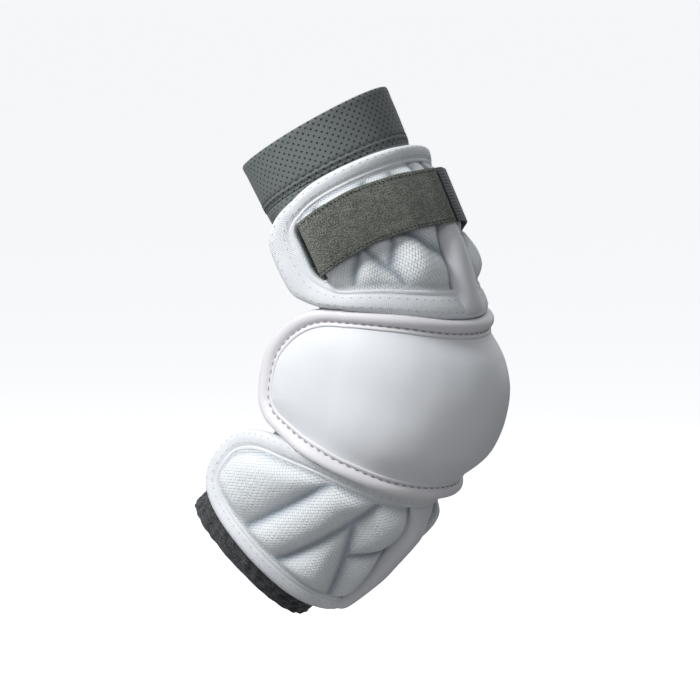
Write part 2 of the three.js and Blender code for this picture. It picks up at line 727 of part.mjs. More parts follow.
// The rubber tab that is sewn on the elastic's end and lies on the loop part.
function strapTab() {
  const { under } = strapPath();
  const lifted = (turn) => (down) => {
    const point = under(turn)(down);
    const axis = armAxis(down).point;
    return point.addScaledVector(point.clone().sub(axis).normalize(), STRAP_THICKNESS + SEAM_GAP);
  };
  return ribbon(turns(TAB_FROM, TAB_TO, 6).map(lifted), STRAP_WIDTH + TAB_OVERHANG, TAB_THICKNESS);
}

// Cutter for the slot of one wing, a tall thin block along the strap's step.
function slotCutter(turn) {
  const half = SLOT_WIDTH / 2 / BICEP_SIDE;
  const reach = STRAP_WIDTH / 2 + SLOT_END_ROOM;
  const skin = (height) => (u, v) => {
    const down = STRAP_CENTRE + (2 * v - 1) * reach;
    return sectionPoint(armAxis(down), bicepBase(down), turn + (2 * u - 1) * half, height);
  };
  return asSolid(layerBody(1, 1, skin(PAD_BORDER + LOBE_HEIGHT + SLOT_REACH), skin(-SLOT_REACH), false));
}

function bicepPad() {
  let solid = asSolid(bicep.body(13, bicepHeight));
  for (const turn of [rad(SLOT_TURN), rad(-SLOT_TURN)]) solid = solid.subtract(slotCutter(turn));
  return asGeometry(solid);
}

function material(color, roughness) {
  return new THREE.MeshStandardMaterial({ color, roughness, metalness: 0 });
}

const WHITE_WEAVE = material(0xdfe5ea, 0.75);
const WHITE_KNIT = material(0xe8eaee, 0.8);
const WHITE_SATIN = material(0xe6e6ec, 0.45);
const GREY_MESH = material(0x6f7877, 0.85);
const GREY_LOOP = material(0x55594f, 0.95);
const GREY_ELASTIC = material(0x5c646a, 0.8);
const DARK_CUFF = material(0x2b2e33, 0.9);
const TAB_RUBBER = material(0x7b8583, 0.6);

const pad = new THREE.Group();

function add(name, geometry, finish) {
  const mesh = new THREE.Mesh(geometry, finish);
  mesh.name = name;
  pad.add(mesh);
}

add("collar_band", collarBand(), GREY_MESH);
add("grip_band", gripBand(), GREY_ELASTIC);
add("arm_sleeve", armSleeve(), GREY_MESH);
add("wrist_cuff", wristCuff(), DARK_CUFF);
add("bicep_pad", bicepPad(), WHITE_WEAVE);
add("bicep_binding", bicep.binding(4), WHITE_KNIT);
add("bicep_spine", spineBody(bicep, BICEP_SPINE), WHITE_SATIN);
add("forearm_pad", forearm.body(13, forearmHeight), WHITE_WEAVE);
add("forearm_binding", forearm.binding(4), WHITE_KNIT);
add("forearm_spine", spineBody(forearm, FOREARM_SPINE), WHITE_SATIN);
add("elbow_cap", cap.body(12, capOuter, capFloor), WHITE_SATIN);
add("elbow_binding", cap.binding(4, capFloor), WHITE_SATIN);
add("strap_loop", strapLoop(), GREY_LOOP);
add("strap_elastic", strapElastic(), GREY_ELASTIC);
add("strap_tab", strapTab(), TAB_RUBBER);

export default pad;
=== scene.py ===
"""Looks of a lacrosse arm pad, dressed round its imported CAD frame.

Every surface is worked out in millimetres on the bent axis of an arm and becomes metres in its mesh.
The axis is a straight upper arm, an arc round the elbow and a straight forearm in the plane y = 0, with
the point of the elbow towards +X. A spot is a distance down the axis, a turn round it from the ridge over
the elbow, and a height along the normal of a section made of two half ellipses.
"""

from __future__ import annotations

import logging
import math
from dataclasses import dataclass, field
from enum import Enum
from functools import cache
from typing import Callable, Sequence

import bpy
import bmesh
import numpy as np
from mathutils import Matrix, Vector

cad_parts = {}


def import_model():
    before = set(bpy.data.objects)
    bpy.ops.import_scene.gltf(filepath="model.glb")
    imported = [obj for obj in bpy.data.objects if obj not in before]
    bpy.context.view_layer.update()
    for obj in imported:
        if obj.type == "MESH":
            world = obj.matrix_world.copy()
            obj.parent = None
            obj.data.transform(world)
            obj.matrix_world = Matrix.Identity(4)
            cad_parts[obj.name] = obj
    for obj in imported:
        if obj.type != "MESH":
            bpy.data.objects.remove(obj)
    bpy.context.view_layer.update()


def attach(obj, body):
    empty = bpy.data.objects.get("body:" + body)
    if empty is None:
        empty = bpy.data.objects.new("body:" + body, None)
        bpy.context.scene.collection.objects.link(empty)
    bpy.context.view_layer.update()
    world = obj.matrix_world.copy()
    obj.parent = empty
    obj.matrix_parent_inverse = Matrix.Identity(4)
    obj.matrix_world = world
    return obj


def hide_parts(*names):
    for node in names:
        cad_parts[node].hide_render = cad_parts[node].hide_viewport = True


LOG = logging.getLogger("arm_pad")
MM = 0.001
Array = np.ndarray
Rows = Sequence[tuple[float, ...]]
Piece = bpy.types.Object
Node = bpy.types.Node
Socket = bpy.types.NodeSocket


def cubic(start: Array, end: Array, leave: Array, arrive: Array, gap: Array, t: Array) -> Array:
    """Cubic between two values whose slopes are given, at shares t of the gap between them."""
    rise = start * (1 + 2 * t) * (1 - t) ** 2 + end * t * t * (3 - 2 * t)
    return rise + gap * t * (1 - t) * (leave * (1 - t) - arrive * t)


def table(rows: Rows, at: Array, column: int) -> Array:
    """Values of one column of a table on a cubic through its rows with no overshoot.

    The slope at an inner row is the harmonic mean of the slopes on both sides of it.

    Args:
        rows: Rows of numbers, rising in their first column.
        at: Places along the first column.
        column: Index of the column to read.

    Returns:
        The column's value at each place.
    """
    data = np.asarray(rows, dtype=float)
    x, y = data[:, 0], data[:, column]
    step = np.diff(x)
    rise = np.diff(y) / step
    slope = np.zeros_like(y)
    same = rise[:-1] * rise[1:] > 0
    total = np.where(same, rise[:-1] + rise[1:], 1.0)
    slope[1:-1] = np.where(same, 2 * rise[:-1] * rise[1:] / total, 0.0)
    spot = np.clip(at, x[0], x[-1])
    i = np.clip(np.searchsorted(x, spot) - 1, 0, len(x) - 2)
    return cubic(y[i], y[i + 1], slope[i], slope[i + 1], step[i], (spot - x[i]) / step[i])


def ramp(value: Array, low: float, high: float) -> Array:
    """Smooth step from 0 at the low value to 1 at the high one."""
    t = np.clip((value - low) / (high - low), 0.0, 1.0)
    return t * t * (3 - 2 * t)


def bell(value: Array, width: float) -> Array:
    """Bell curve of height 1 round zero, exp(-(value / width)^2)."""
    return np.exp(-((value / width) ** 2))


def unit(vectors: Array) -> Array:
    """Vectors of length 1 along the last axis."""
    return vectors / np.maximum(np.linalg.norm(vectors, axis=-1, keepdims=True), 1e-9)


def closed(points: Array) -> Array:
    """The points with the first one again at the end."""
    return np.concatenate([points, points[:1]])


def run(path: Array) -> Array:
    """Length along a path at each of its points, from 0."""
    return np.concatenate([[0], np.cumsum(np.linalg.norm(np.diff(path, axis=0), axis=1))])


def ripple(x: Array, y: Array, size: float, seed: int) -> Array:
    """Gentle unevenness, a sum of six plane waves of random heading with lengths near the size.

    Args:
        x: First coordinate, in mm.
        y: Second coordinate, in mm.
        size: Typical wavelength, in mm.
        seed: Choice of the headings and phases.

    Returns:
        Values mostly between -1 and 1.
    """
    source = np.random.default_rng(seed)
    total = np.zeros(np.broadcast(x, y).shape)
    for _ in range(6):
        heading, phase = source.uniform(0, 2 * math.pi, 2)
        rate = 2 * math.pi / (size * source.uniform(0.7, 1.5))
        total = total + np.sin(rate * (x * math.cos(heading) + y * math.sin(heading)) + phase)
    return total / 3.2


@dataclass(frozen=True)
class Axis:
    """A straight or bent line that sections stand on.

    Attributes:
        upper: Length of the straight part above the bend, in mm.
        fore: Length of the straight part below it.
        radius: Radius of the bend.
        top_lean: Lean of the sections above the bend, in radians.
        end_lean: Lean of the sections below it.
    """

    upper: float = 106.0
    fore: float = 126.0
    radius: float = 90.0
    top_lean: float = math.radians(28)
    end_lean: float = math.radians(-42)

    @property
    def arc(self) -> float:
        """Length of the bend."""
        return self.radius * (self.top_lean - self.end_lean)

    @property
    def length(self) -> float:
        """Length of the whole arm."""
        return self.upper + self.arc + self.fore

    def spot(self, down: Array) -> tuple[Array, Array, Array]:
        """Point of the axis in its plane, and the lean of the section there.

        Args:
            down: Distances down the axis.

        Returns:
            The x, the z and the lean.
        """
        past = down - self.upper
        beyond = past - self.arc
        lean = np.clip(self.top_lean - past / self.radius, self.end_lean, self.top_lean)
        straight = np.where(past < 0, past, np.maximum(beyond, 0))
        middle = (self.top_lean + self.end_lean) / 2
        x = self.radius * (np.cos(lean) - math.cos(middle)) + straight * np.sin(lean)
        z = self.radius * (np.sin(lean) - math.sin(middle)) - straight * np.cos(lean)
        return x, z, lean

    def place(self, x: Array, z: Array) -> tuple[Array, Array]:
        """Distance down the axis and distance out of it for points of its plane."""
        middle = (self.top_lean + self.end_lean) / 2
        fx = x + self.radius * math.cos(middle)
        fz = z + self.radius * math.sin(middle)
        lean = np.arctan2(fz, fx)
        held = np.clip(lean, self.end_lean, self.top_lean)
        ox = fx - self.radius * np.cos(held)
        oz = fz - self.radius * np.sin(held)
        straight = ox * np.sin(held) - oz * np.cos(held)
        down = self.upper + self.radius * (self.top_lean - held) + straight
        return down, ox * np.cos(held) + oz * np.sin(held)


@dataclass(frozen=True)
class Straight:
    """The elbow cap's own straight axis, through a point below and behind the elbow."""

    x: float = -8.3
    z: float = -24.7
    lean: float = math.radians(-10.7)

    def spot(self, down: Array) -> tuple[Array, Array, Array]:
        """Point of the axis in its plane, and the lean of the section there."""
        x = self.x + down * math.sin(self.lean)
        z = self.z - down * math.cos(self.lean)
        return x, z, np.full(np.shape(down), self.lean)


def section_point(axis: Axis | Straight, down: Array, turn: Array, section: tuple, height: Array) -> Array:
    """Points over sections of two half ellipses.

    A point is the axis's point, plus the half ellipse's point at the turn, plus the height along the
    ellipse's normal there.

    Args:
        axis: The line that the sections stand on.
        down: Distance down the axis.
        turn: Turn round it in radians, positive towards -Y.
        section: Front, back and side half widths.
        height: Height over the section.

    Returns:
        Points in mm, with x, y, z along the last axis.
    """
    x, z, lean = axis.spot(down)
    front, back, side = section
    half = np.where(np.cos(turn) >= 0, front, back)
    out, across = half * np.cos(turn), side * np.sin(turn)
    nx, ny = np.cos(turn) / half, np.sin(turn) / side
    size = np.hypot(nx, ny)
    out, across = out + height * nx / size, across + height * ny / size
    return np.stack(np.broadcast_arrays(x + out * np.cos(lean), -across, z + out * np.sin(lean)), axis=-1)


ARM = Axis()
CAP_AXIS = Straight()

# Sections of the sleeve: share of the arm's length, then front, back and side half widths in mm
SLEEVE_SECTIONS: Rows = (
    (0.0, 54, 54, 52),
    (0.09, 53, 53, 51),
    (0.17, 50, 50, 49),
    (0.29, 48, 45, 48),
    (0.37, 50, 44, 48),
    (0.46, 59, 56, 48),
    (0.54, 62, 49, 46),
    (0.62, 60, 42, 45),
    (0.72, 58, 41, 43),
    (0.86, 56, 45, 38),
    (1.0, 52, 53, 35),
)


def sleeve_section(down: Array) -> tuple[Array, Array, Array]:
    """Front, back and side half widths of the sleeve's outer face."""
    at = np.asarray(down, dtype=float) / ARM.length
    return table(SLEEVE_SECTIONS, at, 1), table(SLEEVE_SECTIONS, at, 2), table(SLEEVE_SECTIONS, at, 3)


def link(mesh: bpy.types.Mesh, merge: bool = False) -> Piece:
    """Smooths a mesh, merges its doubles if asked, turns its faces outwards and links its object."""
    mesh.polygons.foreach_set("use_smooth", np.ones(len(mesh.polygons), dtype=bool))
    shape = bmesh.new()
    shape.from_mesh(mesh)
    if merge:
        bmesh.ops.remove_doubles(shape, verts=shape.verts, dist=2e-6)
        bmesh.ops.dissolve_degenerate(shape, edges=shape.edges, dist=1e-7)
    bmesh.ops.recalc_face_normals(shape, faces=shape.faces)
    shape.to_mesh(mesh)
    shape.free()
    piece = bpy.data.objects.new(mesh.name, mesh)
    bpy.context.scene.collection.objects.link(piece)
    return piece


def build_mesh(
    name: str,
    points: Array,
    close_rows: bool = False,
    close_columns: bool = False,
    uv: Array | None = None,
    values: dict[str, Array] | None = None,
    ends: bool = False,
) -> Piece:
    """Object from a grid of points, with its doubles merged and its faces turned outwards.

    Args:
        name: Name of the piece.
        points: Grid of points in mm, rows by columns by 3.
        close_rows: Whether the last row joins the first.
        close_columns: Whether the last column joins the first.
        uv: Flat coordinates in mm, with one more row or column where the grid closes.
        values: Numbers on the points, by attribute name.
        ends: Whether the first and last rows are closed with a face each.

    Returns:
        The object, linked to the scene, at the origin.
    """
    rows, columns = points.shape[:2]
    i, j = np.indices((rows - (not close_rows), columns - (not close_columns)))
    corner_i = np.stack([i, i, i + 1, i + 1], axis=-1).reshape(-1, 4)
    corner_j = np.stack([j, j + 1, j + 1, j], axis=-1).reshape(-1, 4)
    faces = ((corner_i % rows) * columns + corner_j % columns).tolist()
    if ends:
        faces.append(list(range(columns)))
        faces.append(list(range((rows - 1) * columns, rows * columns))[::-1])
    mesh = bpy.data.meshes.new(name)
    mesh.from_pydata((points.reshape(-1, 3) * MM).tolist(), [], faces)
    if uv is not None:
        flat = (uv * MM)[corner_i, corner_j].reshape(-1, 2)
        extra = np.zeros((len(mesh.loops) - len(flat), 2))
        layer = mesh.uv_layers.new(name="Flat")
        layer.data.foreach_set("uv", np.concatenate([flat, extra]).ravel())
    for key, numbers in (values or {}).items():
        attribute = mesh.attributes.new(key, "FLOAT", "POINT")
        attribute.data.foreach_set("value", np.asarray(numbers, dtype=float).ravel())
    return link(mesh, merge=True)


def sweep(name: str, path: Array, across: Array, up: Array, profile: Array, loop: bool = False) -> Piece:
    """A profile carried along a path: point = path + profile x across + profile y up.

    Args:
        name: Name of the piece.
        path: Stations in mm, n by 3.
        across: Unit vectors over the profile's width at each station.
        up: Unit vectors over its height.
        profile: Closed profile, k by 2, or one for each station, n by k by 2.
        loop: Whether the path joins its start.

    Returns:
        The swept object, with flat coordinates along the path and round the profile.
    """
    shape = np.broadcast_to(profile, (len(path), *np.shape(profile)[-2:]))
    points = path[:, None] + shape[..., :1] * across[:, None] + shape[..., 1:] * up[:, None]
    along = run(closed(path) if loop else path)
    uv = net(along, run(closed(shape[len(path) // 2])))
    return build_mesh(name, points, close_rows=loop, close_columns=True, uv=uv, ends=not loop)


def net(first: Array, second: Array) -> Array:
    """Grid of pairs, one number from each row of numbers."""
    return np.stack(np.meshgrid(first, second, indexing="ij"), axis=-1)


def rounded_bar(width: float, height: float, corner: float, count: int = 4) -> Array:
    """Closed profile of a bar that stands on y = 0, with rounded corners."""
    angle = np.linspace(0, math.pi / 2, count)
    ring = []
    for k, (cx, cy) in enumerate(((1, 1), (-1, 1), (-1, 0), (1, 0))):
        turn = angle + k * math.pi / 2
        mx = cx * (width / 2 - corner)
        my = height - corner if cy else corner
        ring.append(np.stack([mx + corner * np.cos(turn), my + corner * np.sin(turn)], axis=-1))
    return np.concatenate(ring)


def even_path(path: Array, count: int) -> Array:
    """The same line through evenly spaced points."""
    length = run(path)
    at = np.linspace(0, length[-1], count)
    return np.stack([np.interp(at, length, path[:, k]) for k in range(path.shape[1])], axis=-1)


# A stitch takes some of its eight parts of the line, and is a bead of five rings of six points
PARTS, RINGS, SIDES = 8, 5, 6


def stitches(name: str, line: Array, up: Array, length: float, gap: float, size: float = 0.55) -> Piece:
    """A row of short thread stitches along a line, each a tapered bead that arches off the cloth.

    The line is cut into steps of a stitch and a gap. At a share of the stitch a bead has the radius
    size x (0.25 + 0.75 sqrt(arch)) and is lifted by half of size x arch, with arch = sin(pi x share).

    Args:
        name: Name of the piece.
        line: Stations in mm.
        up: Unit vectors off the cloth at the stations.
        length: Length of a stitch.
        gap: Gap between stitches.
        size: Radius of the thread.

    Returns:
        One object that holds all the stitches.
    """
    total = run(line)[-1]
    count = max(2, int(total / (length + gap)))
    both = even_path(np.concatenate([line, up], axis=1), count * PARTS + 1)
    spot, off = both[:, :3], unit(both[:, 3:])
    keep = min(PARTS - 1, max(3, round(length / total * count * PARTS)))
    share = np.linspace(0, 1, RINGS)
    at = np.arange(count)[:, None] * PARTS + share * keep
    low = np.floor(at).astype(int)
    part = (at - low)[..., None]
    high = np.minimum(low + 1, len(spot) - 1)
    lift = off[low]
    side = unit(np.cross(unit(spot[high] - spot[np.maximum(low - 1, 0)]), lift))
    arch = np.sin(math.pi * share)
    centre = spot[low] * (1 - part) + spot[high] * part + lift * (arch * size * 0.5)[None, :, None]
    turn = np.arange(SIDES)[:, None] * 2 * math.pi / SIDES
    ring = np.cos(turn) * side[:, :, None] + np.sin(turn) * lift[:, :, None]
    verts = centre[:, :, None] + ring * (size * (0.25 + 0.75 * arch**0.5))[None, :, None, None]
    i, j = np.indices((RINGS - 1, SIDES))
    here, after = i * SIDES + j, i * SIDES + (j + 1) % SIDES
    quad = np.stack([here, after, after + SIDES, here + SIDES], axis=-1).reshape(-1, 4)
    caps = np.stack([np.arange(SIDES)[::-1], (RINGS - 1) * SIDES + np.arange(SIDES)])
    first = (np.arange(count) * RINGS * SIDES)[:, None, None]
    quads, ends = (quad + first).reshape(-1, 4), (caps + first).reshape(-1, SIDES)
    mesh = bpy.data.meshes.new(name)
    mesh.from_pydata((verts.reshape(-1, 3) * MM).tolist(), [], quads.tolist() + ends.tolist())
    return link(mesh)


@dataclass(frozen=True)
class Outline:
    """Outline of a wrap pad on its flat cut, with x round the arm and y down it, both in mm.

    Attributes:
        rows: Turn in degrees, top and bottom in mm down the axis, from the ridge to the wing's end.
        reach: Length round the arm for each radian of turn.
    """

    rows: Rows
    reach: float

    def keys(self) -> Array:
        """Corner points of the closed outline, from the ridge's top by the near wing to the far one."""
        data = np.asarray(self.rows, dtype=float)
        x = np.radians(data[:, 0]) * self.reach
        top = np.stack([x, data[:, 1]], axis=-1)
        low = np.stack([x, data[:, 2]], axis=-1)[::-1]
        near = np.concatenate([top, low])
        return np.concatenate([near, (near * (-1, 1))[::-1][1:-1]])

    def loop(self, count: int, inset: float = 0.0, soften: float = 0.0) -> Array:
        """Evenly spaced points round the outline, moved inwards by the inset.

        The keys are joined by cubics whose tangents are the chords between neighbours. Each point then
        moves along the line's inward normal, and the loop is softened by a circular bell.

        Args:
            count: Number of points.
            inset: Distance inwards, in mm.
            soften: Half width of the bell, in points.

        Returns:
            Points of the flat cut, count by 2.
        """
        keys = self.keys()
        before, after = np.roll(keys, 1, axis=0), np.roll(keys, -1, axis=0)
        gap = np.linalg.norm(after - keys, axis=1)
        slope = (after - before) / (gap + np.roll(gap, 1))[:, None]
        t = np.linspace(0, 1, 24, endpoint=False)[None, :, None]
        ends = keys[:, None], after[:, None], slope[:, None], np.roll(slope, -1, axis=0)[:, None]
        curve = cubic(*ends, gap[:, None, None], t).reshape(-1, 2)
        ring = even_path(closed(curve), count + 1)[:-1]
        along = np.roll(ring, -1, axis=0) - np.roll(ring, 1, axis=0)
        ring = ring + inset * unit(np.stack([-along[:, 1], along[:, 0]], axis=-1))
        if soften:
            k = np.arange(count)
            weight = bell(np.minimum(k, count - k).astype(float), soften)
            spectrum = np.fft.fft(weight / weight.sum())[:, None]
            ring = np.real(np.fft.ifft(np.fft.fft(ring, axis=0) * spectrum, axis=0))
        return ring

    def grid(self, columns: int, rows: int, inset: float) -> tuple[Array, Array]:
        """Grid of the flat cut inside the inset outline, with its first and last columns at the wings' ends.

        Args:
            columns: Number of columns across the wrap.
            rows: Number of rows down it.
            inset: Distance inside the outline.

        Returns:
            The x and y of the grid, columns by rows.
        """
        ring = self.loop(720, inset, 5)
        far, near = int(np.argmin(ring[:, 0])), int(np.argmax(ring[:, 0]))
        lower = np.roll(ring, -near, axis=0)[: (far - near) % 720 + 1]
        upper = np.roll(ring, -far, axis=0)[: (near - far) % 720 + 1]
        x0, x1 = ring[far, 0], ring[near, 0]
        x = (x0 + x1) / 2 + (x1 - x0) / 2 * np.sin(np.linspace(-math.pi / 2, math.pi / 2, columns))
        order = np.argsort(upper[:, 0])
        top = np.interp(x, upper[order, 0], upper[order, 1])
        order = np.argsort(lower[:, 0])
        bottom = np.interp(x, lower[order, 0], lower[order, 1])
        middle = (ring[far, 1], ring[near, 1])
        top[[0, -1]] = bottom[[0, -1]] = middle
        v = np.linspace(0, 1, rows)
        return np.repeat(x[:, None], rows, axis=1), top[:, None] + (bottom - top)[:, None] * v


def edge_distance(x: Array, y: Array, ring: Array) -> Array:
    """Distance from each point of a grid to the nearest point of a closed ring."""
    near = np.full(x.shape, 1e9)
    for start in range(0, len(ring), 60):
        part = ring[start : start + 60]
        gap = np.hypot(x[..., None] - part[:, 0], y[..., None] - part[:, 1])
        near = np.minimum(near, gap.min(axis=-1))
    return near


def line_distance(x: Array, y: Array, line: Array) -> Array:
    """Distance from each point of a grid to a line of straight parts."""
    near = np.full(x.shape, 1e9)
    for (ax, ay), (bx, by) in zip(line[:-1], line[1:]):
        dx, dy = bx - ax, by - ay
        t = np.clip(((x - ax) * dx + (y - ay) * dy) / (dx * dx + dy * dy), 0, 1)
        near = np.minimum(near, np.hypot(x - ax - t * dx, y - ay - t * dy))
    return near


@dataclass(frozen=True)
class Crease:
    """A sewn valley between lobes.

    Attributes:
        line: Points of the valley, turn in degrees and distance down the arm in mm.
        depth: Share of the lobes' height that it takes away.
    """

    line: tuple[tuple[float, float], ...]
    depth: float = 1.0


BICEP_ROWS: Rows = (
    (0, 43.6, 141.9),
    (20, 43.8, 141.2),
    (40, 44.6, 138.8),
    (56, 45.4, 135.8),
    (76, 47.3, 131.7),
    (88, 50, 128.6),
    (96, 53.6, 123.4),
    (101.5, 60, 112.8),
    (104.5, 70, 100),
)
BICEP_CREASES = (
    Crease(((76, 118), (71, 110), (66, 104), (63, 92))),
    Crease(((51, 114), (55, 110), (58, 105), (61, 94))),
    Crease(((51, 114), (46, 109), (42, 104), (40, 92))),
    Crease(((51, 114), (47, 119), (45, 124), (41, 134)), 0.85),
    Crease(((80, 122), (68, 120), (56, 121), (46, 124)), 0.6),
    Crease(((40, 92), (33, 99), (26, 104), (20, 110), (10, 115))),
    Crease(((61, 94), (55, 80), (47, 66), (42, 52)), 0.9),
    Crease(((63, 92), (70, 76), (80, 62))),
    Crease(((47, 70), (34, 72), (18, 78))),
    Crease(((28, 52), (26, 62), (20, 76)), 0.8),
)
FOREARM_ROWS: Rows = (
    (0, 208, 320.5),
    (18, 209, 321.0),
    (43, 213, 320.3),
    (60, 217, 318.5),
    (84, 226, 316.0),
    (104, 238, 314),
    (118, 248, 311),
    (128, 260, 305),
    (134, 273, 293),
)
FOREARM_CREASES = (
    Crease(((91, 306), (85, 290), (76, 262), (69, 238), (66, 226))),
    Crease(((65, 306), (59, 292), (52, 273), (44, 248), (38, 224))),
    Crease(((21, 311), (27, 294), (32, 279), (37, 265), (43, 250))),
    Crease(((32, 272), (24, 267), (16, 262), (9, 256))),
)


class Cover:
    """What the quilted pads and the cap share: an outline on a flat cut, laid over a base by spot()."""

    outline: Outline

    def spot(self, x: Array, y: Array, height: Array) -> Array:
        """Points over the base from the flat cut and a height."""
        raise NotImplementedError

    def skin(self, name: str, x: Array, y: Array, height: Array, lining: float, **values: Array) -> Piece:
        """An outer skin and a coarser flat lining, closed at all edges and in a point at both wings' ends.

        Args:
            name: Name of the piece.
            x: Flat distance round the arm, on a grid from one wing's end to the other's.
            y: Distance down it.
            height: Height of the outer skin.
            lining: Height of the lining.
            **values: Numbers on the outer skin's points, by attribute name.

        Returns:
            The closed skin.
        """
        inner_x, inner_y = x[:, ::-6], y[:, ::-6]
        outer, inner = self.spot(x, y, height), self.spot(inner_x, inner_y, lining)
        outer[[0, -1]] = inner[[0, -1]] = outer[[0, -1], :1]
        flat = np.concatenate([np.stack([x, y], axis=-1), np.stack([inner_x, inner_y], axis=-1)], axis=1)
        return build_mesh(
            name,
            np.concatenate([outer, inner], axis=1),
            close_columns=True,
            uv=np.concatenate([flat, flat[:, :1]], axis=1),
            values={key: np.concatenate([value, 0 * inner_x], axis=1) for key, value in values.items()},
        )

    def rim(self, name: str, profile: Rows, count: int) -> Piece:
        """A rounded section carried round the outline, each of its points on its own inset line.

        Args:
            name: Name of the piece.
            profile: Distance inside the outline and height, in rows, as a closed section.
            count: Stations round the outline.

        Returns:
            The closed ring.
        """
        rings = [(self.outline.loop(count, inset, 3), height) for inset, height in profile]
        points = np.stack([self.spot(ring[:, 0], ring[:, 1], height) for ring, height in rings], axis=1)
        uv = net(run(closed(self.outline.loop(count))), run(closed(np.asarray(profile, dtype=float))))
        return build_mesh(name, points, close_rows=True, close_columns=True, uv=uv)

    def line_on(self, inset: float, height: float, count: int) -> tuple[Array, Array]:
        """A closed line round the cover and its unit vectors off it.

        Args:
            inset: Distance inside the outline.
            height: Height over the base.
            count: Stations.

        Returns:
            Points and unit vectors.
        """
        x, y = closed(self.outline.loop(count, inset, 3)).T
        low = self.spot(x, y, height)
        return low, unit(self.spot(x, y, height + 1) - low)


@dataclass
class WrapPad(Cover):
    """A quilted pad on the sleeve: sculpted lobes, a padded binding and a smooth spine.

    Attributes:
        name: Start of the pieces' names.
        outline: Outline of its flat cut.
        side: Half width of its base section.
        back: Back half width of its base section, large where the wings flare off the sleeve.
        creases: Valleys between the lobes.
        spine: Distance down the arm and half turn of the spine in degrees, in rows.
        binding: Width of the binding.
        thickness: Height of the binding.
        border: Height of the flat border inside it.
        puff: Height of the lobes over the border.
        shoulder: Distance in which a lobe rises from a crease.
        spine_height: Height of the spine over the base.
        bed: Height of the pad under the spine.
        taper: Growth of the side for each mm above the pad's middle.
        frame: Width of the flat frame inside the binding.
        spine_end: Distance of the spine's lower end from the pad's edge.
        stand: Distance down the arm and extra depth of the padding on the ridge, in rows.
        sink: Share of its height that the spine loses at its lower end.
    """

    name: str
    outline: Outline
    side: float
    back: float
    creases: tuple[Crease, ...]
    spine: Rows
    binding: float
    thickness: float = 8.6
    border: float = 6.4
    puff: float = 9.4
    shoulder: float = 8.0
    spine_height: float = 16.5
    bed: float = 3.0
    taper: float = 0.0
    frame: float = 2.0
    spine_end: float = 1.5
    stand: Rows = ((0, 0.0), (400, 0.0))
    sink: float = 0.3

    @property
    def middle(self) -> float:
        """Distance down the arm of the pad's middle on the ridge."""
        return (self.outline.rows[0][1] + self.outline.rows[0][2]) / 2

    def base(self, down: Array, raised: Array = 1.0) -> tuple[Array, Array, Array]:
        """Section that the pad lies on, with its extra depth on the ridge times the raised share."""
        front = sleeve_section(down)[0] + 0.3 + table(self.stand, down, 1) * raised
        side = self.side + (self.middle - np.asarray(down)) * self.taper
        return front, np.full_like(front, self.back), side

    def spot(self, x: Array, y: Array, height: Array) -> Array:
        """Points over the base section from the flat cut and a height. The lining stays on the sleeve."""
        raised = ramp(np.asarray(height, dtype=float), 0.4, 1.2)
        return section_point(ARM, y, x / self.outline.reach, self.base(y, raised), height)

    def beside(self, x: Array, y: Array) -> Array:
        """Distance of a spot outside the spine's edge, negative on the spine."""
        return np.abs(x) - np.radians(table(self.spine, y, 1)) * self.outline.reach

    def lobes(self, x: Array, y: Array) -> tuple[Array, Array]:
        """Height of the pad and how deep in a valley each spot lies.

        A lobe rises as 1 - exp(-(distance / shoulder)^1.3) from each crease, from the spine and from the
        frame, and the rises are multiplied.

        Args:
            x: Flat distance round the arm.
            y: Distance down it.

        Returns:
            The height in mm, and the painted shade from 0 to 1 in the valleys, by the spine and at the frame.
        """
        edge = edge_distance(x, y, self.outline.loop(420)) - self.binding - self.frame
        beside = self.beside(x, y)

        def rise(distance: Array, width: float) -> Array:
            return 1 - np.exp(-((np.maximum(distance, 0) / width) ** 1.3))

        level = rise(edge, self.shoulder * 0.55) * rise(beside - 0.6, self.shoulder * 0.5)
        valley = np.zeros_like(x)
        for crease in self.creases:
            line = np.asarray(crease.line, dtype=float)
            line[:, 0] = np.radians(line[:, 0]) * self.outline.reach
            gap = line_distance(np.abs(x), y, line)
            level = level * (1 - crease.depth * (1 - rise(gap, self.shoulder)))
            # Painted shade in a band along each sewn crease
            valley = np.maximum(valley, crease.depth * bell(gap, 2.6))
        pull = ripple(x, y, 17, 3) * 0.35 + ripple(x, y, 6, 8) * 0.1
        bed = ramp(beside, -1.0, 2.5)
        height = self.bed + bed * (self.border - self.bed) + level * (self.puff + pull)
        inside = ramp(edge, -0.5, 1.5) * ramp(beside, 0, 1.5)
        # Painted shade beside the spine's edge and, weaker, along the frame inside the binding
        side_painted_shade = np.maximum(bell(beside - 1.2, 2.8), bell(edge, 1.6) * 0.35)
        return height, np.clip(np.maximum(valley * inside, side_painted_shade), 0, 1)

    def panel(self, columns: int = 250, rows: int = 150) -> Piece:
        """The quilted panel: an outer skin of lobes and a flat lining, closed at all edges."""
        x, y = self.outline.grid(columns, rows, self.binding - 1.5)
        height, valley = self.lobes(x, y)
        height[[0, -1]] = 1.5
        # The valley attribute carries the painted shade of the valleys to the material
        return self.skin(f"{self.name}_panel", x, y, height, 0.35, valley=valley)

    def binding_ring(self) -> Piece:
        """The knitted binding: a full outer roll, a long shallow inner slope, and a piped inner edge."""
        w, h = self.binding, self.thickness
        profile = (
            (0.5, 0.2), (0.06, 0.22 * h), (0.0, 0.45 * h), (0.06 * w, 0.72 * h), (0.16 * w, 0.9 * h),
            (0.3 * w, 1.0 * h), (0.48 * w, 0.99 * h), (0.66 * w, 0.92 * h), (0.78 * w, 0.84 * h),
            (0.82 * w, 0.77 * h), (0.86 * w, 0.76 * h), (0.9 * w, 0.81 * h), (0.96 * w, 0.82 * h),
            (1.01 * w, 0.79 * h), (1.05 * w, 0.7 * h), (1.05 * w, 0.2),
        )
        return self.rim(f"{self.name}_binding_roll", profile, 460)

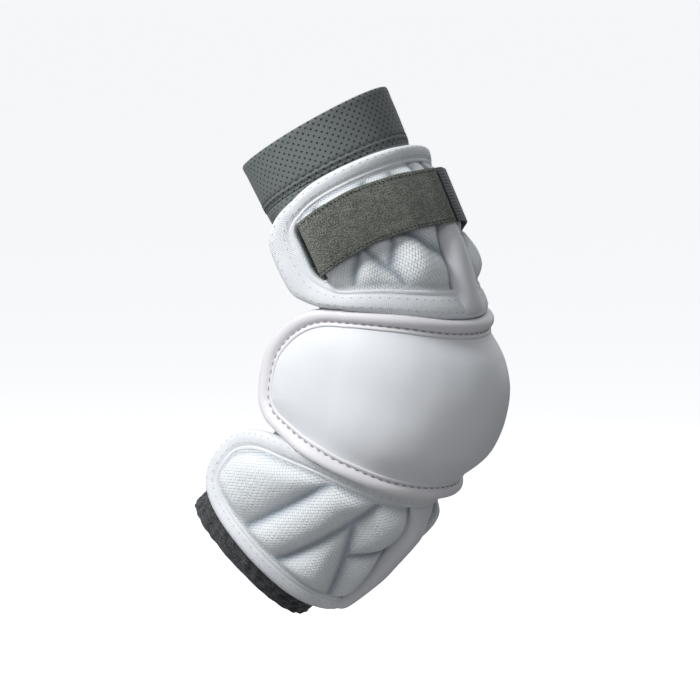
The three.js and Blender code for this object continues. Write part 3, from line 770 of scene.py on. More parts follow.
    def spine_roll(self) -> Piece:
        """The smooth roll on the ridge.

        Its height over the bed is (1 - |u|^2.3)^(1 / 2.1) across its width, times (1 - |v|^14)^(1 / 3) down
        its length, with u and v from -1 to 1. It is lower near the top and sinks at its lower end.
        """
        top, bottom = self.outline.rows[0][1] + self.binding + 0.3, self.outline.rows[0][2] - self.spine_end
        u = np.linspace(-1, 1, 49)[None]
        v = np.linspace(-1, 1, 121)[:, None]
        y = (top + bottom) / 2 + (bottom - top) / 2 * v + 0 * u
        width = np.radians(table(self.spine, y, 1)) * self.outline.reach - 0.7
        round_u = np.maximum(1 - np.abs(u) ** 2.3, 0) ** (1 / 2.1)
        round_v = np.maximum(1 - np.abs(v) ** 14, 0) ** (1 / 3)
        rise = (0.4 + 0.6 * ramp(y, top, top + 24)) * (1 - self.sink * ramp(y, bottom - 45, bottom))
        foot = self.bed + 0.2
        height = foot + (self.spine_height - foot) * round_u * round_v * rise
        height = height + 0.12 * ripple(u * width, y, 26, 21) * round_u
        outer = self.spot(u * width * (0.965 + 0.035 * round_v), y, height)
        inner = self.spot(u[:, ::-1] * width[:, ::-1] * 0.96, y[:, ::-1], foot - 0.05)[:, 1:-1]
        points = np.concatenate([outer, inner], axis=1)
        return build_mesh(f"{self.name}_spine_roll", points, close_columns=True, ends=True)


BICEP = WrapPad(
    name="bicep",
    outline=Outline(BICEP_ROWS, 66.0),
    side=60.0,
    back=126.0,
    creases=BICEP_CREASES,
    spine=((43, 7), (100, 7.5), (114, 10), (126, 12), (142, 13)),
    binding=11.8,
)
FOREARM = WrapPad(
    name="forearm",
    outline=Outline(FOREARM_ROWS, 57.0),
    side=50.0,
    back=70.0,
    creases=FOREARM_CREASES,
    spine=((208, 24), (220, 18), (238, 11), (256, 9.5), (277, 8.5), (319, 7.5)),
    spine_height=15.5,
    binding=12.0,
    taper=0.05,
    stand=((206, 0.0), (214, 1.2), (228, 6.0), (270, 7.5), (320, 7.5)),
)


CAP_ROWS: Rows = (
    (0, -61.4, 58.5),
    (22, -61.5, 58),
    (38, -62.1, 56.5),
    (54, -62.4, 54),
    (70, -61.3, 50),
    (89, -58.6, 45),
    (103, -54.4, 39.5),
    (114, -46.0, 33.5),
    (123.5, -32.5, 27.5),
    (130.5, -14, 15),
)

# Base of the cap: distance down its axis, then front and back half widths in mm
CAP_BASE: Rows = ((-59, 57.0, 89.6), (-35, 60.8, 92.2), (-6, 61.9, 92.8), (24, 61.2, 92.2), (59, 54.2, 88.3))


@dataclass
class ElbowCap(Cover):
    """The domed cap over the point of the elbow, with its wings round the arm and its padded roll.

    Attributes:
        outline: Outline of its flat cut.
        side: Half width of its base section.
        roll: Width of the roll round it.
        height: Height of the roll.
        border: Height of the shell inside the roll.
        dome: Rise of the dome at the ridge.
        clearance: Room that the base keeps over what lies under it.
        most: Greatest lift of the base.
        sag: How far the softened lift may fall below the needed one.
    """

    outline: Outline = field(default_factory=lambda: Outline(CAP_ROWS, 62.0))
    side: float = 57.0
    roll: float = 11.0
    height: float = 8.0
    border: float = 6.6
    dome: float = 15.8
    clearance: float = 0.8
    most: float = 14.0
    sag: float = 1.4
    lift_x: Array = field(init=False)
    lift_y: Array = field(init=False)
    lift: Array = field(init=False)

    def __post_init__(self) -> None:
        """Works out how far the base has to rise to clear the sleeve and the pads under it."""
        self.lift_x = np.linspace(-150, 150, 121)
        self.lift_y = np.linspace(-66, 66, 67)
        x, y = np.meshgrid(self.lift_x, self.lift_y, indexing="ij")
        turn = np.degrees(np.abs(x) / self.outline.reach)
        y = np.clip(y, table(CAP_ROWS, turn, 1), table(CAP_ROWS, turn, 2))
        steps = np.arange(0, self.most, 0.4)
        clear = np.stack([self.room(self.base_point(x, y, step)) >= self.clearance for step in steps])
        needed = np.where(clear.any(axis=0), steps[np.argmax(clear, axis=0)], self.most)
        self.lift = needed
        for floor in [needed - self.sag] * 28 + [0 * needed] * 12:
            for axis in (0, 1):
                self.lift = (np.roll(self.lift, 1, axis) + 2 * self.lift + np.roll(self.lift, -1, axis)) / 4
            self.lift = np.maximum(self.lift, floor)

    def section(self, down: Array) -> tuple[Array, Array, Array]:
        """Front, back and side half widths of the base."""
        down = np.asarray(down, dtype=float)
        return table(CAP_BASE, down, 1), table(CAP_BASE, down, 2), np.full_like(down, self.side)

    def base_point(self, x: Array, y: Array, height: Array) -> Array:
        """Points over the base with no lift."""
        return section_point(CAP_AXIS, y, x / self.outline.reach, self.section(y), height)

    def room(self, points: Array) -> Array:
        """Room between points and the sleeve or the edges of the pads under them, in mm."""
        down, out = ARM.place(points[..., 0], points[..., 2])
        side = -points[..., 1]
        turn = np.degrees(np.abs(np.arctan2(side, out)))

        def over(section: tuple, height: float) -> Array:
            half, width = np.where(out >= 0, section[0], section[1]) + height, section[2] + height
            return (np.hypot(out / half, side / width) - 1) * np.minimum(half, width)

        room = over(sleeve_section(down), 0.0)
        for pad in (BICEP, FOREARM):
            top, bottom = table(pad.outline.rows, turn, 1), table(pad.outline.rows, turn, 2)
            near = (down > top + 1.2) & (down < bottom - 1.2) & (turn < pad.outline.rows[-1][0])
            room = np.where(near, np.minimum(room, over(pad.base(down), pad.thickness)), room)
        return room

    def lifted(self, x: Array, y: Array) -> Array:
        """The lift at spots of the flat cut, read between the points of its grid."""
        u, v = (
            np.clip((at - line[0]) / (line[1] - line[0]), 0, len(line) - 1.001)
            for at, line in ((x, self.lift_x), (y, self.lift_y))
        )
        i, j = u.astype(int), v.astype(int)
        low, high = (self.lift[k, j] * (1 - v + j) + self.lift[k, j + 1] * (v - j) for k in (i, i + 1))
        return low * (1 - u + i) + high * (u - i)

    def spot(self, x: Array, y: Array, height: Array) -> Array:
        """Points over the lifted base."""
        return self.base_point(x, y, height + self.lifted(x, y))

    def shell_height(self, x: Array, y: Array) -> Array:
        """Height of the shell: a border, and a dome that fades towards the wings.

        The dome is (1 - |w|^2.5) down the cap, with w the share of the way from its middle to its edge,
        times 0.26 + 0.74 cos(turn)^1.2 round it.
        """
        turn = np.degrees(np.abs(x) / self.outline.reach)
        top, bottom = table(CAP_ROWS, turn, 1) + self.roll, table(CAP_ROWS, turn, 2) - self.roll
        share = np.clip(np.abs((2 * y - top - bottom) / (bottom - top)), 0, 1)
        ridge = 0.26 + 0.74 * np.maximum(np.cos(np.radians(turn)), 0) ** 1.2
        edge = edge_distance(x, y, self.outline.loop(420)) - self.roll
        soft = 1 - np.exp(-np.maximum(edge, 0) / 5.0)
        dents = ripple(x, y, 60, 12) * 0.35 + ripple(x, y, 23, 31) * 0.1
        return self.border + (self.dome * ridge * (1 - share**2.5) + dents) * soft + 0.9 * (soft - 1)

    def shell(self, columns: int = 260, rows: int = 150) -> Piece:
        """The smooth shell inside the roll, closed with its lining."""
        x, y = self.outline.grid(columns, rows, self.roll - 1.2)
        height = self.shell_height(x, y)
        height[[0, -1]] *= 0.5
        return self.skin("elbow_cap_shell", x, y, height, 0.3)

    def roll_ring(self) -> Piece:
        """The padded roll: a full round outside, a sewn groove, and a low inner bead that meets the shell."""
        w, h = self.roll, self.height
        profile = (
            (0.9, 0.1), (0.25, 0.16 * h), (0.0, 0.4 * h), (0.03 * w, 0.62 * h), (0.11 * w, 0.84 * h),
            (0.24 * w, 0.97 * h), (0.38 * w, 1.0 * h), (0.52 * w, 0.96 * h), (0.64 * w, 0.86 * h),
            (0.71 * w, 0.73 * h), (0.75 * w, 0.64 * h), (0.79 * w, 0.63 * h), (0.83 * w, 0.72 * h),
            (0.9 * w, 0.8 * h), (0.97 * w, 0.82 * h), (1.03 * w, 0.76 * h), (1.04 * w, 0.1),
        )
        return self.rim("elbow_roll", profile, 520)


@dataclass(frozen=True)
class Fold:
    """A soft furrow across the sleeve: place down the arm in mm, depth in mm, middle and reach in degrees."""

    down: float
    depth: float
    middle: float
    reach: float


@dataclass
class Sleeve:
    """The cloth sleeve with its collar, the grip band inside the collar and the hem at the wrist.

    Attributes:
        collar: Height of the collar.
        seams: Distances of its two sewn lines from its mouth.
        folds: Furrows at the inside of the elbow.
    """

    collar: float = 40.2
    seams: tuple[float, float] = (33.2, 37.4)
    folds: tuple[Fold, ...] = (
        Fold(103, 1.2, 172, 80),
        Fold(126, 2.0, 196, 75),
        Fold(150, 2.7, 168, 80),
        Fold(174, 2.5, 190, 85),
        Fold(197, 3.6, 160, 75),
        Fold(219, 2.0, 185, 70),
        Fold(240, 1.2, 200, 60),
        Fold(274, 1.5, 150, 60),
    )

    def tube(
        self, name: str, rows: Array, loft: Callable[[Array, Array], Array], wall: float, columns: int = 220
    ) -> Piece:
        """A tube of cloth with rounded lips.

        The wall's outer skin runs down the arm and its inner skin runs back, and the lips are half
        circles of the wall's thickness.

        Args:
            name: Name of the piece.
            rows: Distances down the arm.
            loft: Height over the sleeve's section from distance and turn.
            wall: Thickness of the cloth.
            columns: Columns round the arm.

        Returns:
            The closed tube.
        """
        turn = np.linspace(0, 2 * math.pi, columns, endpoint=False)
        lip = np.sin(np.linspace(0, math.pi, 5)[1:-1])
        back = rows[::-3]
        down = np.concatenate([rows, rows[-1] + lip * wall / 2, back, rows[0] - lip * wall / 2])
        turned = np.asarray([0.15, 0.5, 0.85])
        inset = np.concatenate([np.zeros(len(rows)), turned, np.ones(len(back)), turned[::-1]]) * wall
        d, t = np.meshgrid(down, turn, indexing="xy")
        height = loft(np.clip(d, rows[0], rows[-1]), t) - inset[None]
        points = section_point(ARM, self.slanted(d, t), t, sleeve_section(d), height)
        uv = net(np.append(turn, 2 * math.pi) * 50, closed(down))
        return build_mesh(name, points, close_rows=True, close_columns=True, uv=uv)

    def slanted(self, down: Array, turn: Array) -> Array:
        """Distances down the arm, moved for the slack mouth, lowest off the ridge, and for the cuff."""
        mouth = 2.5 + 7.0 * np.cos(turn - math.radians(60)) - 5.2 * np.cos(turn)
        cuff = 4.5 * np.sin(turn) ** 2 * np.clip((down - ARM.length + 40) / 40, 0, 1)
        return down + mouth * np.clip(1 - down / 70, 0, 1) - cuff

    def sleeve_loft(self, down: Array, turn: Array) -> Array:
        """Furrows sink the cloth, with fine gathers between them on the inside of the elbow."""
        degrees = np.degrees(turn) % 360
        inner = ramp(np.cos(turn), 0.25, -0.5)
        drop = np.zeros_like(down)
        for fold in self.folds:
            bend = 6 * np.sin(np.radians((degrees - fold.middle) * 1.6) + fold.down)
            reach = np.clip(1 - (np.abs(degrees - fold.middle) / fold.reach) ** 2, 0, 1) ** 2
            drop = drop + fold.depth * reach * bell(down - fold.down - bend, 4.2)
        under_strap = 1 - ramp(down, 62, 68) * ramp(down, 116, 108)
        fine = ripple(turn * 22, down, 19, 5) * 0.9 * inner * under_strap
        hang = ripple(turn * 40, down, 34, 9) * 0.4 * under_strap
        end = ramp(down, 41, 50) * ramp(down, ARM.length - 24, ARM.length - 34)
        return np.minimum((fine + hang) * end - drop * under_strap, 0.35)

    def collar_loft(self, down: Array, turn: Array) -> Array:
        """The collar's two sewn lines near its foot and the soft swell of its hem."""
        high, low = self.seams
        seam = 0.5 * bell(down - high, 0.9) + 0.5 * bell(down - low, 0.9)
        swell = 0.3 * bell(down - 3.0, 3.0) + 0.35 * bell(down - (high + low) / 2, 1.5)
        return 0.25 * ripple(turn * 40, down, 45, 14) - seam + swell

    def cuff_loft(self, down: Array, turn: Array) -> Array:
        """The hem's lumpy gathers, a coarse and a fine ripple, with the furrow of its seam."""
        bumps = 0.6 * ripple(turn * 40, down, 11, 41) + 0.45 * ripple(turn * 40, down, 5.2, 17)
        seam = 0.7 * bell(down - ARM.length + 8.5, 0.9)
        swell = 0.5 * np.sin((down - ARM.length + 22) * math.pi / 22)
        return 0.7 + bumps + swell - seam

    def build(self) -> dict[str, Piece]:
        """The collar, the grip band, the sleeve and the hem, by node."""
        end = ARM.length
        cloths = {
            "collar_band": ("collar_tube", (1.2, self.collar - 1.2, 120), self.collar_loft, 2.4),
            "grip_band": ("grip_tube", (6.5, 25.5, 24), lambda down, turn: -2.75 + 0 * down, 1.1),
            "arm_sleeve": ("sleeve_tube", (self.collar + 0.5, end - 22.8, 380), self.sleeve_loft, 1.4, 240),
            "wrist_cuff": ("wrist_hem", (end - 20.6, end - 1.4, 40), self.cuff_loft, 2.4, 340),
        }
        return {
            node: self.tube(name, np.linspace(*rows), *rest) for node, (name, rows, *rest) in cloths.items()
        }

    def line_on(self, down: Array, height: float, turns: Array) -> tuple[Array, Array]:
        """A line round the sleeve and its directions off the cloth."""
        spot = self.slanted(down, turns)
        low = section_point(ARM, spot, turns, sleeve_section(down), height)
        high = section_point(ARM, spot, turns, sleeve_section(down), height + 1)
        return low, unit(high - low)


def soften(padded: Array, reach: int, width: float) -> Array:
    """A row of numbers softened by a bell, without its padding of the bell's reach at both ends."""
    weight = bell(np.arange(-reach, reach + 1).astype(float), width)
    return np.convolve(padded, weight / weight.sum(), mode="valid")


# How far the strap's middle strays down the arm, in mm, by turn in degrees
STRAP_ARCH: Rows = ((0, 0), (25, -2.2), (50, -3.2), (70, -1.2), (90, 2), (108, 2), (135, 0), (180, 0))


@dataclass(frozen=True)
class Ribbon:
    """A stretch of the strap: its middle line, with unit vectors over its width and off its face."""

    path: Array
    across: Array
    up: Array

    def web(self, name: str, width: float, thickness: float) -> Piece:
        """The ribbon as a flat band with rounded edges."""
        corner = min(0.8, thickness * 0.45)
        return sweep(name, self.path, self.across, self.up, rounded_bar(width, thickness, corner))

    def line(self, side: float, height: float, keep: slice) -> tuple[Array, Array]:
        """A line along the ribbon, at a distance to its side and a height, and its directions outwards."""
        return (self.path + self.across * side + self.up * height)[keep], self.up[keep]

    def bar(self, station: int, half: float, height: float, count: int) -> tuple[Array, Array]:
        """A line across the ribbon at a station, and its directions outwards."""
        over = self.across[station] * np.linspace(-half, half, count)[:, None]
        up = np.repeat(self.up[[station]], count, axis=0)
        return self.path[station] + over + up * height, up


@dataclass
class Strap:
    """The fastened strap: loop tape over the pad, ribbed elastic through the far slot, and the tab.

    Attributes:
        width: Width of the webbing.
        thickness: Thickness of the webbing.
        centre: Distance of its middle down the arm.
        slot: Turn of the slots in the pad's wings, in degrees.
        join: Turn where the loop tape is sewn to the elastic.
        tab: Turns of the two ends of the tab.
        lift: Height over the sleeve on the inner side.
    """

    width: float = 38.0
    thickness: float = 1.8
    centre: float = 84.5
    slot: float = 90.0
    join: float = 1.0
    tab: tuple[float, float] = (112.0, 166.0)
    lift: float = 1.0
    turns: Array = field(init=False)
    heights: Array = field(init=False)

    def __post_init__(self) -> None:
        """Works out the strap's height over the pad, taut across the valleys between the lobes."""
        self.turns = np.linspace(-96, 96, 193)
        down = np.linspace(-0.5, 0.5, 15) * self.width
        t, d = np.meshgrid(self.turns, down, indexing="ij")
        d = d + self.middle(t)
        x = np.radians(t) * BICEP.outline.reach
        pad = BICEP.lobes(x, d)[0]
        on_spine = (BICEP.beside(x, d) < 0) * BICEP.spine_height
        raw = np.maximum(pad, on_spine).max(axis=1)
        reach = np.stack([np.roll(raw, k) for k in range(-5, 6)]).max(axis=0)
        soft = soften(np.pad(reach, 8, mode="edge"), 8, 4.5)
        self.heights = np.maximum(soft, raw + 0.3) + 0.3

    def middle(self, turn: Array) -> Array:
        """Distance down the arm of the strap's middle line, which arches up over the pad."""
        off = np.abs((np.asarray(turn, dtype=float) + 180) % 360 - 180)
        return self.centre + table(STRAP_ARCH, off, 1)

    def places(self, start: float, end: float) -> list[tuple[float, float]]:
        """Turns from start to end and how far through the slot each one is, 0 outside and 1 inside."""
        turns = np.arange(start, end + 0.1, 3.0)
        past = 180 - np.abs(np.abs(turns) - 180) - self.slot
        side = math.copysign(self.slot, start + end)
        places = [(turn, float(far > 0)) for turn, far in zip(turns, past) if abs(far) > 3]
        places += [(side, share) for share in (0.08, 0.3, 0.5, 0.7, 0.92)]
        return sorted(places, key=lambda place: (place[0], place[1] * side))

    def ribbon(self, places: list[tuple[float, float]], width: float, lift: float = 0.0) -> Ribbon:
        """The strap through its places: two edges, softened where it turns, and what lies between them.

        A place lies on the pad's outside, on the sleeve inside the wings, or by its share between them.

        Args:
            places: Turns in degrees and shares.
            width: Width of the band.
            lift: Height over the strap's own level.

        Returns:
            The ribbon, whose up points away from the arm.
        """
        turn, share = np.asarray(places).T
        bend = np.radians(turn)
        edges = []
        for side in (-0.5, 0.5):
            down = self.middle(turn) + side * width
            height = np.interp(turn, self.turns, self.heights) + lift
            over = BICEP.spot(bend * BICEP.outline.reach, down, height)
            under = section_point(ARM, down, bend, sleeve_section(down), self.lift + lift)
            line = even_path(over * (1 - share)[:, None] + under * share[:, None], 160)
            padded = np.pad(line, ((5, 5), (0, 0)), mode="reflect", reflect_type="odd")
            edges.append(np.stack([soften(column, 5, 2.4) for column in padded.T], axis=-1))
        path, across = (edges[0] + edges[1]) / 2, unit(edges[1] - edges[0])
        up = unit(np.cross(unit(np.gradient(path, axis=0)), across))
        x, z, _ = ARM.spot(np.asarray(self.centre))
        away = np.sum(up * (path - np.asarray([x, 0, z])), axis=-1)
        return Ribbon(path, across, up * np.sign(away.mean()))

    def build(self) -> tuple[dict[str, Piece], dict[str, tuple[Array, Array]], Ribbon]:
        """The three bands, the lines of their stitches, and the tab's ribbon."""
        start, end = self.tab
        edge, face = self.width / 2 - 2.2, self.thickness
        tape = self.ribbon(self.places(self.join, 158), self.width)
        elastic = self.ribbon(self.places(end - 360 + 1.0, self.join - 0.8), self.width)
        tab = self.ribbon([(turn, 1.0) for turn in np.linspace(start, end, 24)], self.width + 2, face + 0.35)
        ring, off = self.tab_ring(tab, 1.9)
        pieces = {
            "strap_loop": tape.web("strap_loop_tape", self.width, face),
            "strap_elastic": elastic.web("strap_elastic_webbing", self.width, face),
            "strap_tab": tab.web("strap_tab_patch", self.width + 2, 2.2),
        }
        lines = {
            "loop_top": tape.line(-edge, face, slice(2, 96)),
            "loop_low": tape.line(edge, face, slice(2, 96)),
            "elastic_top": elastic.line(-edge, face, slice(3, 74)),
            "elastic_low": elastic.line(edge, face, slice(3, 74)),
            "elastic_fold": elastic.bar(20, edge, face, 40),
            "tab": (ring + off * 2.2, off),
        }
        return pieces, lines, tab

    def tab_ring(self, tab: Ribbon, inset: float) -> tuple[Array, Array]:
        """A closed rounded rectangle on the tab, |a|^9 + |b|^9 = 1 in shares of its half length and width.

        Args:
            tab: The tab's ribbon.
            inset: Distance from the tab's edge.

        Returns:
            The ring's points on the ribbon's level and the unit vectors off the face.
        """
        t = np.linspace(0, 2 * math.pi, 241)
        share, side = (np.sign(wave) * np.abs(wave) ** (2 / 9) for wave in (np.cos(t), np.sin(t)))
        at = (0.5 + (0.5 - inset / run(tab.path)[-1]) * share) * (len(tab.path) - 1)
        stations = np.arange(len(tab.path))
        spot, over, off = (
            np.stack([np.interp(at, stations, column) for column in line.T], axis=-1)
            for line in (tab.path, tab.across, tab.up)
        )
        return spot + over * (side * (self.width / 2 + 1 - inset))[:, None], off

    def relief(self, tab: Ribbon) -> list[Piece]:
        """The tab's raised rim and the grip ridges at its free end."""
        ring, off = self.tab_ring(tab, 4.2)
        both = even_path(np.concatenate([ring + off * 2.1, off], axis=1), 200)[:-1]
        ring, off = both[:, :3], unit(both[:, 3:])
        along = unit(np.roll(ring, -1, axis=0) - np.roll(ring, 1, axis=0))
        bar = rounded_bar(1.6, 0.9, 0.4)
        pieces = [sweep("strap_tab_rim", ring, unit(np.cross(along, off)), off, bar, loop=True)]
        for count in range(4):
            k = 24 + 9 * count
            line, off = tab.bar(k, 10.5, 2.1, 24)
            flat = np.repeat(unit(tab.path[[k + 1]] - tab.path[[k - 1]]), 24, axis=0)
            pieces.append(sweep(f"strap_tab_ridge_{count + 1}", line, flat, off, rounded_bar(1.5, 0.9, 0.4)))
        return pieces

    def cutter(self, side: float) -> Piece:
        """A thin block through the wing, which cuts the slot that the strap passes through."""
        down = self.middle(self.slot) + np.asarray([-1, -1, 1, 1]) * (self.width / 2 + 1.6)
        near, far = np.sort(side * (math.radians(self.slot) + np.asarray([-2.6, 4.2]) / BICEP.side))
        x = np.asarray([near, far, far, near]) * BICEP.outline.reach
        corners = np.stack([BICEP.spot(x, down, height) for height in (-8.0, 22.0)])
        return build_mesh("slot_cutter", corners, close_columns=True, ends=True)


def cut(piece: Piece, cutters: Sequence[Piece]) -> None:
    """Takes the cutters' space out of a piece and removes them."""
    for cutter in cutters:
        modifier = piece.modifiers.new("slot", "BOOLEAN")
        modifier.operation = "DIFFERENCE"
        modifier.solver = "EXACT"
        modifier.object = cutter
    graph = bpy.context.evaluated_depsgraph_get()
    mesh = bpy.data.meshes.new_from_object(piece.evaluated_get(graph))
    piece.modifiers.clear()
    piece.data = mesh
    for cutter in cutters:
        bpy.data.objects.remove(cutter)


class Pattern(Enum):
    """The surface patterns of the pad's cloths and covers."""

    WEAVE = "basket weave"
    MESH = "punched mesh"
    KNIT = "fine knit"
    GRAIN = "leather grain"
    PILE = "loop pile"
    RIBS = "ribbed webbing"
    THREAD = "twisted thread"


class Value:
    """A number of a node tree, which is added, multiplied and so on like a number of the script."""

    def __init__(self, nodes: Nodes, socket: Socket) -> None:
        """Keeps the nodes to build with and the socket that holds the number."""
        self.nodes, self.socket = nodes, socket

    def to(self, operation: str, *others: object) -> Value:
        """The result of a Math node on the number and up to two more."""
        return self.nodes.math(operation, self, *others)

    def __add__(self, other: object) -> Value:
        """The sum."""
        return self.to("ADD", other)

    def __sub__(self, other: object) -> Value:
        """The difference."""
        return self.to("SUBTRACT", other)

    def __rsub__(self, other: float) -> Value:
        """The difference from a plain number."""
        return self.nodes.math("SUBTRACT", other, self)

    def __mul__(self, other: object) -> Value:
        """The product."""
        return self.to("MULTIPLY", other)

    def __truediv__(self, other: object) -> Value:
        """The quotient."""
        return self.to("DIVIDE", other)


class Nodes:
    """A short way to place and join the nodes of a tree."""

    def __init__(self, tree: bpy.types.NodeTree) -> None:
        """Keeps the tree to build in."""
        self.tree = tree

    def add(self, kind: str, settings: dict[str, object] | None = None, **inputs: object) -> Node:
        """A node with its settings, and its inputs set or linked by name.

        Args:
            kind: Type of the node.
            settings: Attributes of the node.
            **inputs: Values or sockets for its inputs, with underscores for spaces.

        Returns:
            The node.
        """
        node = self.tree.nodes.new(kind)
        for key, value in (settings or {}).items():
            setattr(node, key, value)
        for key, value in inputs.items():
            self.put(node.inputs[key.replace("_", " ")], value)
        return node

    def put(self, socket: Socket, value: object) -> None:
        """Links a socket or sets a value."""
        value = value.socket if isinstance(value, Value) else value
        if isinstance(value, Socket):
            self.tree.links.new(value, socket)
        else:
            socket.default_value = value

    def fill(self, node: Node, values: dict[int, object], output: int = 0) -> Value:
        """Sets or links inputs of a node by their index, and gives one of its outputs."""
        for index, value in values.items():
            self.put(node.inputs[index], value)
        return Value(self, node.outputs[output])

    def math(self, operation: str, *values: object) -> Value:
        """The result of a Math node on up to three numbers."""
        return self.fill(self.add("ShaderNodeMath", {"operation": operation}), dict(enumerate(values)))

    def mix(self, factor: object, low: object, high: object) -> Value:
        """A mix of two numbers."""
        return self.fill(self.add("ShaderNodeMix", {"data_type": "FLOAT"}), {0: factor, 2: low, 3: high})

    def blend(self, factor: object, low: object, high: object) -> Value:
        """A mix of two colours."""
        return self.fill(self.add("ShaderNodeMix", {"data_type": "RGBA"}), {0: factor, 6: low, 7: high}, 2)

    def noise(self, vector: object, scale: object, detail: float) -> Value:
        """The value of a Noise texture."""
        return self.fill(self.add("ShaderNodeTexNoise", None, Vector=vector, Scale=scale, Detail=detail), {})

    def step(self, value: object, low: float, high: float) -> Value:
        """A smooth step from 0 at the low value to 1 at the high one."""
        node = self.add("ShaderNodeMapRange", {"interpolation_type": "SMOOTHSTEP"})
        return self.fill(node, dict(enumerate((value, low, high, 0.0, 1.0))))


def group(name: str, inputs: dict[str, str], outputs: dict[str, str]) -> tuple[Nodes, list[Value], Node]:
    """A new node group.

    Args:
        name: Name of the group.
        inputs: Kinds of its inputs by name.
        outputs: Kinds of its outputs by name.

    Returns:
        The nodes to build with, the inputs, and the node that takes the outputs.
    """
    tree = bpy.data.node_groups.new(name, "ShaderNodeTree")
    for way, sockets in (("INPUT", inputs), ("OUTPUT", outputs)):
        for label, kind in sockets.items():
            tree.interface.new_socket(label, in_out=way, socket_type=f"NodeSocket{kind}")
    nodes = Nodes(tree)
    source, sink = nodes.add("NodeGroupInput"), nodes.add("NodeGroupOutput")
    return nodes, [Value(nodes, socket) for socket in source.outputs[: len(inputs)]], sink


# Added to a number of cells, so that its remainders are those of a number above zero
CELLS = 20000.0


@cache
def pattern_group(pattern: Pattern) -> bpy.types.NodeTree:
    """The group of one pattern, with a height and a mask of its deep places.

    Weave: |sin| ribs that run across in one cell and along in the next, as on a chequer board.
    Mesh: a hole in the middle of each cell, with every second row moved by half a cell.
    Knit: ribs whose sides slant up and down, as rows of V stitches.
    Grain: noise folded into fine creases. Pile: two noises of tufts. Ribs: |sin| along one way.
    Thread: slanted |sin| ribs.

    Args:
        pattern: The pattern.

    Returns:
        The group, built once.
    """
    sockets = {"Vector": "Vector", "Cell": "Float"}
    n, (vector, cell), sink = group(pattern.value, sockets, {"Height": "Float", "Deep": "Float"})
    place = n.add("ShaderNodeSeparateXYZ", None, Vector=vector)
    u, v = (Value(n, place.outputs[k]) / cell for k in (0, 1))
    scale = n.math("DIVIDE", 1.0, cell)

    def wave(value: Value) -> Value:
        return (value * math.pi).to("SINE").to("ABSOLUTE")

    def odd(value: Value) -> Value:
        return (value + CELLS).to("MODULO", 2.0)

    def part(value: Value) -> Value:
        return (value + CELLS).to("FRACT")

    if pattern is Pattern.WEAVE:
        turned = odd(u.to("FLOOR") + v.to("FLOOR"))
        mask, low, high = n.mix(turned, wave(u), wave(v)), 0.05, 0.6
        height = mask.to("SQRT") * (n.mix(turned, wave(v * 2.0), wave(u * 2.0)) * 0.25 + 0.75)
    elif pattern is Pattern.MESH:
        row = v * 2.0
        across, along = (part(u + odd(row.to("FLOOR")) * 0.5) - 0.5) * 2.0, part(row) - 0.5
        mask, low, high = (across * across + along * along).to("SQRT"), 0.19, 0.34
        height = n.step(mask, low, high) + wave(u * 6.0) * 0.12
    elif pattern is Pattern.KNIT:
        slant = (part(u) - 0.5).to("ABSOLUTE")
        height = wave(u) * (wave(v + slant) * 0.4 + 0.6)
        mask, low, high = height, 0.1, 0.6
    elif pattern is Pattern.GRAIN:
        mask, low, high = (n.noise(vector, scale, 4.0) - 0.5).to("ABSOLUTE"), 0.0, 0.12
        height = n.step(mask, low, high)
    elif pattern is Pattern.PILE:
        clump = n.noise(vector, scale * 0.22, 2.0)
        mask, low, high = n.noise(vector, scale, 3.0) + (clump - 0.5) * 0.25, 0.38, 0.62
        height = n.step(mask, 0.35, 0.7) + clump * 0.5
    elif pattern is Pattern.RIBS:
        height = wave(u).to("SQRT")
        mask, low, high = height, 0.2, 0.7
    else:
        height = wave(u + v)
        mask, low, high = height, 0.1, 0.6
    n.put(sink.inputs[0], height)
    n.put(sink.inputs[1], 1.0 - n.step(mask, low, high))
    return n.tree


@cache
def wear_group() -> bpy.types.NodeTree:
    """The group for soft unevenness of colour: a colour moves towards a shade by a broad and a fine noise."""
    sockets = {"Vector": "Vector", "Color": "Color", "Shade": "Color", "Amount": "Float", "Size": "Float"}
    n, (vector, color, shade, amount, size), sink = group("uneven tone", sockets, {"Color": "Color"})
    scale = n.math("DIVIDE", 1.0, size)
    broad = n.step(n.noise(vector, scale, 3.0), 0.35, 0.7)
    fine = n.noise(vector, scale * 14.0, 2.0)
    n.put(sink.inputs[0], n.blend((broad * 0.7 + fine * 0.3) * amount, color, shade))
    return n.tree


# Size of the broad uneven tones, in metres
UNEVEN_SIZE = 0.045


